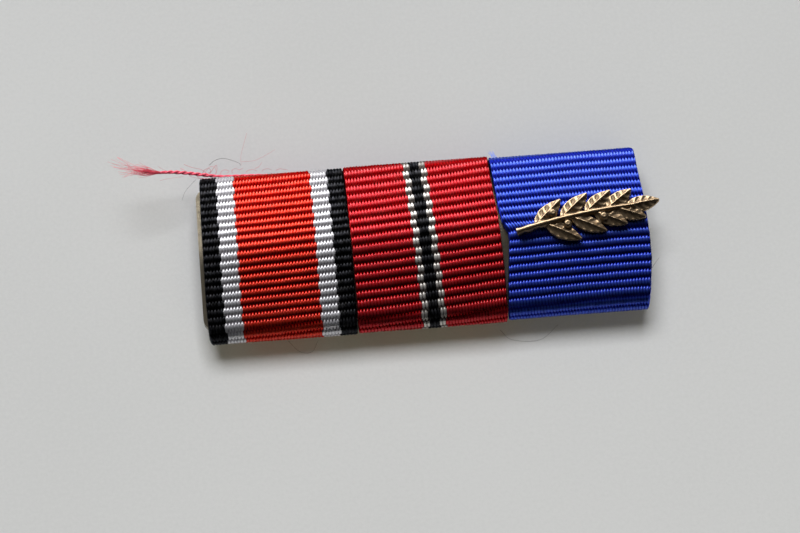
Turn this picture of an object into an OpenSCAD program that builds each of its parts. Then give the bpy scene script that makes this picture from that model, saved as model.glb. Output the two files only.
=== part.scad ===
// Ribbon bar: three ribbed ribbons wrapped side by side over one softly bent
// metal plate, a cast leaf sprig on the right ribbon, and a pin on the back.
// X runs along the bar, Y towards its top edge and Z out of its face.
// The bar lies face up on its pin, and the origin is under the middle of its box.

/* [Ribbons] */
// Width of each ribbon
ribbon_w = 15.1; // [13:0.1:18]
// Gap between two neighbouring ribbons
seam = 0.15; // [0.1:0.05:0.5]
// Thickness of a ribbon between its ribs
ribbon_t = 1; // [1:0.05:1.3]
// Height of a rib above the ribbon
rib_rise = 0.16; // [0.05:0.01:0.3]
// Spacing of the ribs on the left ribbon
rib_pitch_left = 0.83; // [0.6:0.01:1.2]
// Spacing of the ribs on the middle ribbon
rib_pitch_middle = 0.96; // [0.6:0.01:1.2]
// Spacing of the ribs on the right ribbon
rib_pitch_right = 0.88; // [0.6:0.01:1.2]
// Gap between the ribbons' turned-over ends and the pin's base strip
lap_gap = 0.4; // [0.2:0.1:1.5]
// Slack of the left ribbon over the plate's edges
slack_left = 0.3; // [0.05:0.05:0.5]
// Slack of the middle ribbon over the plate's edges
slack_middle = 0.25; // [0.05:0.05:0.5]
// Slack of the right ribbon over the plate's edges
slack_right = 0.05; // [0.05:0.05:0.5]
// Radius of the right ribbon's top corner, seen from the front
ribbon_corner_r = 1; // [0.5:0.1:2]

/* [Plate] */
// Height of the plate, measured along its face
plate_h = 15.8; // [14.5:0.1:19]
// Thickness of the plate
plate_t = 0.7; // [0.5:0.05:1]
// Radius of the plate's corners, seen from the front
plate_corner_r = 1.2; // [0.5:0.1:2.5]
// Length of plate that shows past the left ribbon
plate_reach = 0.45; // [0.1:0.05:1]
// Length by which the plate ends short of the right ribbon's edge
plate_short = 0.8; // [0.7:0.1:1.5]
// Lean of the face above and below its bend, in degrees
face_lean = 5; // [2:0.5:7]
// Radius of the soft bend along the middle of the plate
bend_r = 14; // [8:1:25]
// Clearance between pieces that lie on each other
fit = 0.1; // [0.05:0.01:0.15]

/* [Leaf sprig] */
// Length of the sprig from stem end to leaf tip
sprig_l = 15.2; // [13:0.1:17]
// Length by which its tip stands past the right ribbon's edge
sprig_reach = 1.4; // [0.5:0.1:2]
// Turn of the sprig on the ribbon, in degrees
sprig_turn = 8; // [0:1:12]
// Height of the sprig's middle above the middle of the face
sprig_y = 0.4; // [-1:0.1:2]
// Sideways bow of the stem
sprig_bow = 0.5; // [0:0.1:1]
// Radius of the stem at its cut end
stem_r = 0.42; // [0.3:0.02:0.6]
// Widest width of a leaf
leaf_w = 1.75; // [1.2:0.05:2.2]
// Thickness of a leaf at its edge
leaf_t = 0.4; // [0.3:0.05:0.6]
// Rise of a leaf's midrib over its edge
leaf_rise = 0.4; // [0.2:0.05:0.6]
// Radius of a berry
berry_r = 0.46; // [0.3:0.02:0.6]
// Radius of the two posts behind the sprig
post_r = 0.4; // [0.3:0.05:0.6]

/* [Pin] */
// Height of the ribbons' folded edges over the surface under the bar
stand = 2.2; // [2:0.1:3]
// Length of the pin's base strip
strip_l = 38; // [32:0.5:40]
// Width of the base strip
strip_w = 5; // [4:0.1:5]
// Thickness of the base strip
strip_t = 0.6; // [0.4:0.05:0.8]
// Length of the hinge block along the bar
block_l = 4; // [3:0.1:6]
// Radius of the needle
needle_r = 0.45; // [0.3:0.05:0.55]
// Length of the needle's ground point
needle_point_l = 4; // [2:0.5:6]
// Length of the catch along the bar
catch_l = 3; // [2:0.1:4]
// Width of the catch across the bar
catch_w = 4; // [3.2:0.1:4.4]
// Thickness of the catch's metal
catch_t = 0.6; // [0.4:0.05:0.7]

/* [Hidden] */

// Steps in a rib, a fold and a soft bend
RIB_STEPS = 4;
FOLD_STEPS = 12;
BEND_STEPS = 4;
// Roundness of a rib: lower is fuller
RIB_FULLNESS = 0.5;
// Depth in a ribbon at which its fold is measured, as a share of its thickness
FOLD_MEASURE = 0.75;
// Roundness of the catch's bends, as a share of its height
CATCH_ROUND = 0.3;
// Spare length of a cutting shape past what it cuts
PAST = 4;

// Ends of the ribbons and of the whole bar along X, from the middle of the ribbons
ribbons_half = 1.5 * ribbon_w + seam;
plate_left = -(ribbons_half + plate_reach);
plate_right = ribbons_half - plate_short;
tip_x = ribbons_half + sprig_reach;
shift_x = -(plate_left + tip_x) / 2;

// The plate's section: where its rounded edges are centred, and how far they drop
plate_edge_s = plate_h / 2 - plate_t / 2;
inner_r = plate_t / 2 + fit;
crest_off = inner_r + ribbon_t + rib_rise;
most_slack = max(slack_left, slack_middle, slack_right);
edge_drop = -spine(plate_edge_s + most_slack)[1];
ridge_z = stand + edge_drop + crest_off;

// Half width of a leaf's tip
leaf_tip_r = 0.12;

// Sections of a leaf from its base to its tip, as shares of its length
LEAF_SHARES = [0.03, 0.14, 0.3, 0.46, 0.62, 0.78, 0.9, 0.98];

// Leaves of the sprig: place on the stem, side, length as a share of the sprig, angle
LEAVES = [
    [0.13, 1, 0.27, 36], [0.2, -1, 0.28, 37],
    [0.31, 1, 0.27, 34], [0.38, -1, 0.27, 35],
    [0.48, 1, 0.25, 32], [0.54, -1, 0.25, 33],
    [0.63, 1, 0.23, 29], [0.69, -1, 0.22, 30],
    [0.76, 0, 0.24, 0]
];

// Berries of the sprig: place on the stem and side
BERRIES = [[0.27, 1], [0.35, -1], [0.6, -1]];

// Stem sections as shares of the sprig
STEM_SHARES = [0, 0.1, 0.2, 0.3, 0.4, 0.5, 0.6, 0.7, 0.8];

// Places of the posts as shares of the stem
POST_SHARES = [0.28, 0.68];

// Place of a share of the way along the sprig's stem, as [x, y] before it is turned
function stem_point(share) = [sprig_l * (share - 0.5), sprig_bow * 4 * share * (1 - share)];

// The sprig lies just over the highest ribs, with its end leaf's tip at tip_x
end_leaf = LEAVES[len(LEAVES) - 1];
end_along = stem_point(end_leaf[0])[0] + end_leaf[2] * sprig_l * LEAF_SHARES[len(LEAF_SHARES) - 1];
end_side = stem_point(end_leaf[0])[1] - leaf_tip_r;
sprig_x = tip_x - end_along * cos(sprig_turn) + end_side * sin(sprig_turn);
sprig_z = ridge_z + crest_off + fit;
post_end_z = ridge_z - plate_t / 2 + fit;

// The pin hangs under the plate's back
strip_top_off = -inner_r;
strip_low_off = -(inner_r + strip_t);
needle_z = catch_t + fit + needle_r;

// Point of the plate's middle surface at a distance s from its bend, as [y, z, lean]
function spine(s) =
    let (
        side = s < 0 ? -1 : 1,
        bend_len = bend_r * face_lean * PI / 180,
        run = min(abs(s), bend_len),
        angle = run / bend_r * 180 / PI,
        rest = abs(s) - run
    )
    [
        side * (bend_r * sin(angle) + rest * cos(face_lean)),
        -(bend_r * (1 - cos(angle)) + rest * sin(face_lean)),
        -side * angle
    ];

// Point at a distance off in front of the plate's middle surface, as [y, z]
function over_spine(s, off) =
    let (p = spine(s))
    [p[0] - off * sin(p[2]), p[1] + off * cos(p[2])];

// Point of a wrap round the plate: u runs round it from the middle of the face,
// half is where its folds start, core_r their inner radius and out the depth in it
function wrap_point(u, out, half, core_r, fold_len) =
    let (
        side = u < 0 ? -1 : 1,
        over = abs(u) - half,
        middle = spine(side * half),
        turn = side * middle[2],
        angle = 180 * over / fold_len,
        r = core_r + out
    )
    over <= 0 ? over_spine(u, r)
    : over < fold_len
        ? [middle[0] + side * r * sin(angle - turn), middle[1] + r * cos(angle - turn)]
        : over_spine(side * (half - over + fold_len), -r);

// Height of a ribbon's surface over its troughs, as a share of the rib's rise
function rib_shape(u, pitch) =
    let (across = u / pitch - floor(u / pitch))
    pow(abs(sin(180 * across)), RIB_FULLNESS);

// Drift of an edge at a height, read from a table of [height, drift] rows
function drift(table, row) = table[row][1] * ribbon_w;

// Edge tables: height as a share of the half height, drift as a share of the width
STRAIGHT = [[-1, 0], [1, 0]];
LEFT_OUTER_EDGE = [
    [-1, 0.02], [-0.9, 0.004], [-0.55, -0.002], [0, 0], [0.45, 0.004], [0.8, 0.024], [1, 0.03]
];
MIDDLE_RIGHT_EDGE = [
    [-1, -0.002], [-0.3, 0], [0, -0.004], [0.3, -0.008], [0.55, -0.018], [0.9, -0.036], [1, -0.038]
];
RIGHT_INNER_EDGE = [
    [-1, 0.006], [-0.7, 0.016], [-0.45, 0.033], [-0.1, 0.056], [-0.02, 0.054],
    [0.12, 0.02], [0.3, 0.004], [0.55, -0.01], [0.9, -0.033], [1, -0.036]
];
RIGHT_OUTER_EDGE = [
    [-1, -0.05], [-0.8, -0.026], [-0.45, 0.002], [-0.18, 0.006], [0.33, -0.006], [0.64, -0.024], [1, -0.036]
];

// Section of a wrap of a ribbon, as points [y, z] from one lap's end to the other
function ribbon_section(pitch, slack) =
    let (
        half = plate_edge_s + slack,
        fold_len = PI * (inner_r + ribbon_t * FOLD_MEASURE),
        lap = half - strip_w / 2 - lap_gap,
        reach = half + fold_len + lap,
        ribs = round(reach / pitch),
        step = reach / ribs / RIB_STEPS,
        outer = [for (i = [-ribs * RIB_STEPS : ribs * RIB_STEPS])
            let (u = i * step)
            wrap_point(u, ribbon_t + rib_rise * rib_shape(u, reach / ribs), half, inner_r, fold_len)],
        inner_turns = [for (i = [0 : FOLD_STEPS]) half + fold_len * i / FOLD_STEPS],
        bend_len = bend_r * face_lean * PI / 180,
        inner_bends = [for (i = [0 : BEND_STEPS]) bend_len * i / BEND_STEPS],
        inner_half = concat(inner_bends, inner_turns, [reach]),
        inner = concat(
            [for (i = [len(inner_half) - 1 : -1 : 0]) inner_half[i]],
            [for (i = [1 : len(inner_half) - 1]) -inner_half[i]]
        )
    )
    concat(outer, [for (u = inner) wrap_point(u, 0, half, inner_r, fold_len)]);

// Section of the plate with its rounded edges, as points [y, z]
function plate_section(s_edge, r) =
    let (
        fold_len = PI * r,
        bend_len = bend_r * face_lean * PI / 180,
        bends = [for (i = [0 : BEND_STEPS]) bend_len * i / BEND_STEPS],
        turns = [for (i = [0 : FOLD_STEPS]) s_edge + fold_len * i / FOLD_STEPS],
        backs = [for (i = [BEND_STEPS : -1 : 1]) 2 * s_edge + fold_len - bend_len * i / BEND_STEPS],
        up = concat(bends, turns, backs, [2 * s_edge + fold_len]),
        down = [for (i = [len(up) - 2 : -1 : 1]) -up[i]]
    )
    [for (u = concat(up, down)) wrap_point(u, 0, s_edge, r, fold_len)];

// Lays a section drawn in Y and Z along X from x0 to x1
module along_bar(section, x0, x1) {
    translate([x0, 0, ridge_z])
        rotate([90, 0, 90])
            linear_extrude(x1 - x0)
                polygon(section);
}

// Rectangle with round corners, from x0 to x1 and as high as h
module rounded_plan(x0, x1, h, r) {
    translate([x0 + r, -h / 2])
        square([x1 - x0 - 2 * r, h]);
    translate([x0, -h / 2 + r])
        square([x1 - x0, h - 2 * r]);
    for (x = [x0 + r, x1 - r], y = [-h / 2 + r, h / 2 - r])
        translate([x, y])
            circle(r, $fn = 48);
}

// Outline of a ribbon from the front, between two drifting edges
module ribbon_plan(x0, x1, h, left_edge, right_edge) {
    polygon(concat(
        [[x0 + drift(left_edge, 0), -h / 2 - PAST]],
        [for (i = [0 : len(left_edge) - 1]) [x0 + drift(left_edge, i), left_edge[i][0] * h / 2]],
        [[x0 + drift(left_edge, len(left_edge) - 1), h / 2 + PAST]],
        [[x1 + drift(right_edge, len(right_edge) - 1), h / 2 + PAST]],
        [for (i = [len(right_edge) - 1 : -1 : 0]) [x1 + drift(right_edge, i), right_edge[i][0] * h / 2]],
        [[x1 + drift(right_edge, 0), -h / 2 - PAST]]
    ));
}

// A wrapped ribbon in the given place along the bar
module ribbon(place, pitch, slack, left_edge, right_edge) {
    x0 = place * (ribbon_w + seam) - ribbon_w / 2;
    x1 = x0 + ribbon_w;
    h = plate_h + 2 * (slack + fit + ribbon_t + rib_rise);
    intersection() {
        along_bar(ribbon_section(pitch, slack), x0 - PAST, x1 + PAST);
        linear_extrude(ridge_z + crest_off + PAST)
            ribbon_plan(x0, x1, h, left_edge, right_edge);
    }
}

// Lays its children in the sprig's place on the right ribbon
module on_sprig() {
    translate([sprig_x, sprig_y, 0])
        rotate([0, 0, sprig_turn])
            children();
}

// The posts, or the holes for them when grow is their clearance
module posts(z0, z1, grow) {
    for (share = POST_SHARES)
        translate([stem_point(share)[0], stem_point(share)[1], z0])
            cylinder(h = z1 - z0, r = post_r + grow, $fn = 32);
}

module back_plate() {
    color("darkkhaki")
        translate([shift_x, 0, 0])
            difference() {
                intersection() {
                    along_bar(plate_section(plate_edge_s, plate_t / 2), plate_left, plate_right);
                    linear_extrude(ridge_z + PAST)
                        rounded_plan(plate_left, plate_right, plate_h, plate_corner_r);
                }
                on_sprig()
                    posts(ridge_z - PAST / 2, ridge_z + PAST / 2, fit);
            }
}

module ribbon_left() {
    color("orangered")
        translate([shift_x, 0, 0])
            ribbon(-1, rib_pitch_left, slack_left, LEFT_OUTER_EDGE, STRAIGHT);
}

module ribbon_middle() {
    color("crimson")
        translate([shift_x, 0, 0])
            ribbon(0, rib_pitch_middle, slack_middle, STRAIGHT, MIDDLE_RIGHT_EDGE);
}

module ribbon_right() {
    corner_x = ribbons_half + drift(RIGHT_OUTER_EDGE, len(RIGHT_OUTER_EDGE) - 1) - ribbon_corner_r;
    corner_y = plate_h / 2 + slack_right + fit + ribbon_t + rib_rise - ribbon_corner_r;
    color("royalblue")
        translate([shift_x, 0, 0])
            difference() {
                ribbon(1, rib_pitch_right, slack_right, RIGHT_INNER_EDGE, RIGHT_OUTER_EDGE);
                translate([corner_x, corner_y, 0])
                    difference() {
                        cube([PAST, PAST, ridge_z + PAST]);
                        translate([0, 0, -PAST])
                            cylinder(h = ridge_z + 3 * PAST, r = ribbon_corner_r, $fn = 48);
                    }
                on_sprig()
                    posts(ridge_z, sprig_z + PAST, fit);
            }
}

// Half width of a leaf at a share of its length, as a share of its widest half width
function leaf_shape(share) = pow(sin(180 * pow(share, 0.85)), 0.8);

// A pointed leaf with a raised midrib, lying along X from the origin
module leaf(l, w) {
    count = len(LEAF_SHARES);
    rows = [for (share = LEAF_SHARES)
        let (
            half = max(leaf_tip_r, w / 2 * leaf_shape(share)),
            rise = leaf_rise * (0.35 + 0.65 * leaf_shape(share))
        )
        [
            [share * l, -half, 0], [share * l, half, 0], [share * l, half, leaf_t],
            [share * l, half * 0.3, leaf_t + rise * 0.55], [share * l, 0, leaf_t + rise],
            [share * l, -half * 0.3, leaf_t + rise * 0.55], [share * l, -half, leaf_t]
        ]];
    sides = len(rows[0]);
    points = [for (row = rows) each row];
    faces = concat(
        [[for (k = [0 : sides - 1]) k]],
        [for (i = [0 : count - 2], k = [0 : sides - 1])
            let (next = (k + 1) % sides)
            [i * sides + k, (i + 1) * sides + k, (i + 1) * sides + next, i * sides + next]],
        [[for (k = [sides - 1 : -1 : 0]) (count - 1) * sides + k]]
    );
    polyhedron(points, faces);
}

module leaf_sprig() {
    color("peru")
        translate([shift_x, 0, 0])
            on_sprig() {
                translate([0, 0, sprig_z]) {
                    for (row = LEAVES) {
                        at = stem_point(row[0]);
                        translate([at[0], at[1], 0])
                            rotate([0, 0, row[1] * row[3]])
                                leaf(row[2] * sprig_l, leaf_w);
                    }
                    for (i = [0 : len(STEM_SHARES) - 2]) {
                        hull() {
                            stem_bead(STEM_SHARES[i]);
                            stem_bead(STEM_SHARES[i + 1]);
                        }
                    }
                    for (row = BERRIES) {
                        at = stem_point(row[0]);
                        translate([at[0], at[1] + row[1] * (stem_r + berry_r * 0.8), berry_r])
                            sphere(berry_r, $fn = 16);
                    }
                }
                posts(post_end_z, sprig_z + leaf_t, 0);
            }
}

// One round of the stem, thinner towards the tip
module stem_bead(share) {
    r = stem_r * (1 - 0.45 * share);
    translate([stem_point(share)[0], stem_point(share)[1], 0])
        cylinder(h = leaf_t + leaf_rise * 0.9, r1 = r, r2 = r * 0.6, $fn = 12);
}

// A rounded bar's section for the catch, in Y and Z
module catch_outline(w, h, r) {
    translate([-w / 2 + r, 0])
        square([w - 2 * r, h]);
    translate([-w / 2, r])
        square([w, h - 2 * r]);
    for (y = [-w / 2 + r, w / 2 - r], z = [r, h - r])
        translate([y, z])
            circle(r, $fn = 32);
}

module pin_back() {
    strip_half = strip_l / 2;
    strip_low_z = ridge_z + over_spine(strip_w / 2, strip_low_off)[1];
    block_top_z = strip_low_z + strip_t * 0.8;
    catch_h = block_top_z;
    catch_r = catch_h * CATCH_ROUND;
    color("slategray")
        translate([shift_x, 0, 0]) {
            along_bar(strip_section(), -strip_half, strip_half);
            translate([-strip_half, -strip_w / 2, 0])
                cube([block_l, strip_w, block_top_z]);
            translate([strip_half - catch_l, 0, 0])
                rotate([90, 0, 90])
                    linear_extrude(catch_l)
                        difference() {
                            catch_outline(catch_w, catch_h, catch_r);
                            translate([0, catch_t])
                                catch_outline(catch_w - 2 * catch_t, catch_h - 2 * catch_t, catch_r - catch_t / 2);
                            translate([0, needle_z - needle_r - fit])
                                square([catch_w, 2 * (needle_r + fit)]);
                        }
            translate([-strip_half + block_l / 2, 0, needle_z])
                rotate([0, 90, 0])
                    needle(strip_l - block_l / 2);
        }
}

// Section of the pin's base strip, which follows the back of the plate
function strip_section() =
    let (
        half = strip_w / 2,
        steps = BEND_STEPS,
        tops = [for (i = [-steps : steps]) over_spine(half * i / steps, strip_top_off)],
        lows = [for (i = [steps : -1 : -steps]) over_spine(half * i / steps, strip_low_off)]
    )
    concat(tops, lows);

// The needle, from its hinge to its point
module needle(l) {
    cylinder(h = l - needle_point_l, r = needle_r, $fn = 32);
    translate([0, 0, l - needle_point_l])
        cylinder(h = needle_point_l, r1 = needle_r, r2 = needle_r * 0.25, $fn = 32);
}

back_plate();
ribbon_left();
ribbon_middle();
ribbon_right();
leaf_sprig();
pin_back();
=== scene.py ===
"""Dresses the ribbon bar: three woven ribbons, a cast leaf sprig, a worn plate, its pin and loose threads."""

import logging
import math
from dataclasses import dataclass, field
from enum import Enum
from functools import cached_property
from typing import Any, Sequence

import bpy
import numpy as np
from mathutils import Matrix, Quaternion, Vector


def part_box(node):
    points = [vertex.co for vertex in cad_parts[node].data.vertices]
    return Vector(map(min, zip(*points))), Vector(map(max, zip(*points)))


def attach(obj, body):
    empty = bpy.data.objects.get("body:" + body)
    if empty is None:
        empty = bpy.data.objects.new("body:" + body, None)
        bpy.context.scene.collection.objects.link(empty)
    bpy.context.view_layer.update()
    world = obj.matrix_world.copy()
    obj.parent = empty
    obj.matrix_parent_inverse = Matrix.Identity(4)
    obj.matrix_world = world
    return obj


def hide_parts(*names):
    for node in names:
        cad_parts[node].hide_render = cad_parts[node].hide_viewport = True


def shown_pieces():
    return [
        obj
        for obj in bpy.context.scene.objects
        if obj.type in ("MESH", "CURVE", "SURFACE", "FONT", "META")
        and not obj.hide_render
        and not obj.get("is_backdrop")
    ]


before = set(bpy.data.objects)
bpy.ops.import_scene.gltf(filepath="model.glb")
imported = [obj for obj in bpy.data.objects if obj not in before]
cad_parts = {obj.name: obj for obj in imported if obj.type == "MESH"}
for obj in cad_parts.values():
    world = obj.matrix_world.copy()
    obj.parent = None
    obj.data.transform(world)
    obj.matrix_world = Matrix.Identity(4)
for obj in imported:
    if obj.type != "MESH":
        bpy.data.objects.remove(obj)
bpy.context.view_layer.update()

log = logging.getLogger("ribbon_bar")

# Shapes are made in millimetres and turned into metres when they become objects.
MM = 0.001
ROOT = "root"

Colour = tuple[float, float, float, float]
Place = tuple[float, float, float]
Table = tuple[tuple[float, float], ...]
Socket = bpy.types.NodeSocket


def paint(red: int, green: int, blue: int) -> Colour:
    """Turns a screen colour, 0 to 255 a channel, into the linear colour that a shader takes."""
    shares = (channel / 255 for channel in (red, green, blue))
    linear = [share / 12.92 if share <= 0.04045 else ((share + 0.055) / 1.055) ** 2.4 for share in shares]
    return (linear[0], linear[1], linear[2], 1.0)


# Shader nodes.


class NodeDesk:
    """Adds and links the nodes of one shader tree."""

    STEP = 180

    def __init__(self, tree: bpy.types.NodeTree) -> None:
        """Starts a desk on a tree that has no nodes of its own yet."""
        self.tree = tree

    def add(self, kind: str, inputs: dict[Any, Any] | None = None, **settings: Any) -> bpy.types.Node:
        """Adds a node.

        Args:
            kind: Blender's name of the node's type.
            inputs: a value or an output socket for each input, by name or number.
            settings: properties of the node, such as its operation.

        Returns:
            The new node.
        """
        node = self.tree.nodes.new(kind)
        node.location = (self.STEP * len(self.tree.nodes), 0)
        for name, value in settings.items():
            setattr(node, name, value)
        for key, value in (inputs or {}).items():
            if isinstance(value, Socket):
                self.tree.links.new(value, node.inputs[key])
            else:
                node.inputs[key].default_value = value
        return node

    def math(self, operation: str, first: Any, second: Any = 0.0, clamp: bool = False) -> Socket:
        """Adds a calculation with two numbers, and returns its result."""
        node = self.add("ShaderNodeMath", {0: first, 1: second}, operation=operation, use_clamp=clamp)
        return node.outputs[0]

    def plus(self, first: Any, second: Any, clamp: bool = False) -> Socket:
        """Adds two numbers up, and returns the sum."""
        return self.math("ADD", first, second, clamp)

    def minus(self, first: Any, second: Any) -> Socket:
        """Takes the second number from the first, and returns the difference."""
        return self.math("SUBTRACT", first, second)

    def times(self, first: Any, second: Any, clamp: bool = False) -> Socket:
        """Multiplies two numbers, and returns the product."""
        return self.math("MULTIPLY", first, second, clamp)

    def swing(self, share: Any, size: Any) -> Socket:
        """Turns a share from 0 to 1 into a swing of a size to both sides of zero, and returns it."""
        return self.times(self.minus(share, 0.5), size)

    def scale(self, vector: Any, factor: Any) -> Socket:
        """Multiplies a colour or vector by a number, and returns the product."""
        return self.add("ShaderNodeVectorMath", {0: vector, "Scale": factor}, operation="SCALE").outputs[0]

    def mix(self, factor: Any, first: Any, second: Any) -> Socket:
        """Mixes two colours, and returns the result."""
        return self.add("ShaderNodeMix", {0: factor, 6: first, 7: second}, data_type="RGBA").outputs[2]

    def ramp(self, value: Any, low: float, high: float, to_low: Any = 0.0, to_high: Any = 1.0) -> Socket:
        """Maps a value smoothly from one range to another, and returns the result."""
        inputs = {0: value, 1: low, 2: high, 3: to_low, 4: to_high}
        return self.add("ShaderNodeMapRange", inputs, interpolation_type="SMOOTHSTEP").outputs[0]

    def noise(self, vector: Any, scale: Any, detail: float, rough: float = 0.55) -> Socket:
        """Adds a cloudy noise, finer with more detail, and returns its value."""
        inputs = {"Vector": vector, "Scale": scale, "Detail": detail, "Roughness": rough}
        return self.add("ShaderNodeTexNoise", inputs).outputs[0]

    def bump(self, strength: float, rise: float, height: Socket) -> Socket:
        """Adds fine relief, `rise` millimetres high at most, and returns its normal."""
        inputs = {"Strength": strength, "Distance": rise * MM, "Height": height}
        return self.add("ShaderNodeBump", inputs).outputs[0]

    def group(self, tree: bpy.types.NodeTree, inputs: dict[str, Any]) -> Any:
        """Places a shared node group with its own values, and returns its outputs."""
        return self.add("ShaderNodeGroup", inputs, node_tree=tree).outputs

    def mark(self, name: str, output: str = "Fac") -> Socket:
        """Reads a value that a mesh holds at its points, as a number or as its `output`."""
        return self.add("ShaderNodeAttribute", attribute_name=name).outputs[output]

    def place(self) -> Socket:
        """Returns the place on the object that is being shaded."""
        return self.add("ShaderNodeTexCoord").outputs["Object"]


class SharedEffects:
    """Node groups that more than one material uses, each built once."""

    FIBRE_RUN = 1.3
    STREAK_DETAIL = 2.0
    YARNS_APART = 37.0
    PLY_RISE = 0.22
    # Range over which the painted shade mark turns the crest colour into the darker painted shade colour.
    SHADE_RAMP = (0.12, 0.66)
    DARKEST = 0.05
    YARN_ROUGH = 0.42
    SHADED_ROUGH = 0.2
    STREAK_ROUGH = 0.16

    SPECK_SCALE = 9000.0
    SPECK_DETAIL = 1.0
    SPECK_SHARE = (0.66, 0.74)
    CLOUD_SCALE = 900.0
    CLOUD_DETAIL = 4.0
    CLOUD_SHARE = (0.42, 0.75)
    CLOUD_WEIGHT = 0.35

    PATCH_DETAIL = 4.0
    GRAIN_DETAIL = 3.0
    FINE_GRAIN = 7.0
    METAL_NOISE_ROUGH = 0.6
    RUBBED = (0.55, 1.0)
    RUBBED_BREAKS = 0.5
    METAL_ROUGH = 0.24
    HOLLOW_ROUGH = 0.3
    GRAIN_ROUGH = 0.22
    RUBBED_SMOOTH = 0.08
    PATINA_DULL = 0.55

    @staticmethod
    def start(name: str, **inputs: str) -> tuple[NodeDesk, Any]:
        """Starts a group.

        Args:
            name: name of the group.
            inputs: the names of its inputs, with spaces between them, by their kind.

        Returns:
            The group's desk and the outputs of its input node.
        """
        tree = bpy.data.node_groups.new(name, "ShaderNodeTree")
        for kind, labels in inputs.items():
            for label in labels.split():
                tree.interface.new_socket(name=label, in_out="INPUT", socket_type="NodeSocket" + kind)
        desk = NodeDesk(tree)
        return desk, desk.add("NodeGroupInput").outputs

    @staticmethod
    def finish(desk: NodeDesk, colour: Socket, **numbers: Socket) -> bpy.types.NodeTree:
        """Gives a group its outputs.

        Args:
            desk: the group's desk.
            colour: the colour that it gives.
            numbers: the numbers that it gives, by the names of its outputs.

        Returns:
            The finished group.
        """
        desk.tree.interface.new_socket(name="Color", in_out="OUTPUT", socket_type="NodeSocketColor")
        for label in numbers:
            desk.tree.interface.new_socket(name=label, in_out="OUTPUT", socket_type="NodeSocketFloat")
        desk.add("NodeGroupOutput", {"Color": colour, **numbers})
        return desk.tree

    @cached_property
    def yarn(self) -> bpy.types.NodeTree:
        """Shading of one yarn: crest colour with painted shade in its hollows and at its ends, and the fine
        fibres that are twisted into it.
        """
        desk, given = self.start(
            "yarn", Color="Crest Trough", Vector="Yarn",
            Float="Depth Fibres Twist Spread Streaks Coat Metal DeepMetal",
        )
        across, along, chance = desk.add("ShaderNodeSeparateXYZ", {0: given["Yarn"]}).outputs
        turns = desk.plus(desk.times(across, given["Fibres"]), desk.times(along, given["Twist"]))
        spot = {0: turns, 1: desk.times(along, self.FIBRE_RUN), 2: desk.times(chance, self.YARNS_APART)}
        strand = desk.add("ShaderNodeCombineXYZ", spot).outputs[0]
        streaks = desk.noise(strand, 1.0, self.STREAK_DETAIL)
        plies = desk.times(desk.math("SINE", desk.times(turns, math.tau)), self.PLY_RISE)
        # Painted shade: the crest colour goes over to the darker painted shade colour where the mesh's
        # painted shade mark is high.
        shaded = desk.ramp(given["Depth"], *self.SHADE_RAMP)
        # Random tone per yarn and along the fibres; on the black silk, with its large Streaks value, this
        # also paints sparse bright fibre glints.
        tint = desk.plus(desk.swing(chance, given["Spread"]), desk.swing(streaks, given["Streaks"]))
        level = desk.math("MAXIMUM", desk.plus(tint, 1.0), self.DARKEST)
        dull = desk.plus(desk.times(shaded, self.SHADED_ROUGH), desk.times(streaks, self.STREAK_ROUGH))
        return self.finish(
            desk, desk.scale(desk.mix(shaded, given["Crest"], given["Trough"]), level),
            Roughness=desk.plus(dull, self.YARN_ROUGH),
            Height=desk.plus(plies, streaks),
            Coat=desk.times(given["Coat"], desk.minus(1.0, shaded)),
            Metallic=desk.ramp(shaded, 0.0, 1.0, given["Metal"], given["DeepMetal"]),
        )

    @cached_property
    def dust(self) -> bpy.types.NodeTree:
        """Pale lint and dust that settles in specks and faint clouds."""
        desk, given = self.start("dust", Color="Color Dust", Float="Amount", Vector="Position")
        place = given["Position"]
        specks = desk.ramp(desk.noise(place, self.SPECK_SCALE, self.SPECK_DETAIL), *self.SPECK_SHARE)
        clouds = desk.ramp(desk.noise(place, self.CLOUD_SCALE, self.CLOUD_DETAIL), *self.CLOUD_SHARE)
        both = desk.plus(specks, desk.times(clouds, self.CLOUD_WEIGHT))
        mask = desk.times(both, given["Amount"], clamp=True)
        return self.finish(desk, desk.mix(mask, given["Color"], given["Dust"]))

    @cached_property
    def worn_metal(self) -> bpy.types.NodeTree:
        """Metal that is dark in its hollows, mottled on its faces and rubbed bright on its edges, a
        brightness that also serves as a painted edge highlight.
        """
        desk, given = self.start(
            "worn_metal", Color="Metal Tarnish Bright", Float="Hollow Edge Mottle Grain", Vector="Position",
        )
        place, grain = given["Position"], given["Grain"]
        patches = desk.noise(place, grain, self.PATCH_DETAIL, self.METAL_NOISE_ROUGH)
        fine_grain = desk.times(grain, self.FINE_GRAIN)
        fine = desk.noise(place, fine_grain, self.GRAIN_DETAIL, self.METAL_NOISE_ROUGH)
        dark = desk.plus(given["Hollow"], desk.swing(patches, given["Mottle"]), clamp=True)
        # Rubbed bright metal: wear, and on the sprig, whose Edge mark comes from its raised edges, also a
        # painted edge highlight.
        rubbed = desk.ramp(desk.plus(given["Edge"], desk.times(fine, self.RUBBED_BREAKS)), *self.RUBBED)
        body = desk.mix(dark, given["Metal"], given["Tarnish"])
        dull = desk.plus(desk.times(dark, self.HOLLOW_ROUGH), desk.times(fine, self.GRAIN_ROUGH))
        return self.finish(
            desk, desk.mix(rubbed, body, given["Bright"]),
            Roughness=desk.minus(desk.plus(dull, self.METAL_ROUGH), desk.times(rubbed, self.RUBBED_SMOOTH)),
            Metallic=desk.minus(1.0, desk.times(dark, self.PATINA_DULL)),
            Height=fine,
        )


EFFECTS = SharedEffects()


# Finishes.

LINT = paint(196, 190, 182)


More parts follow.
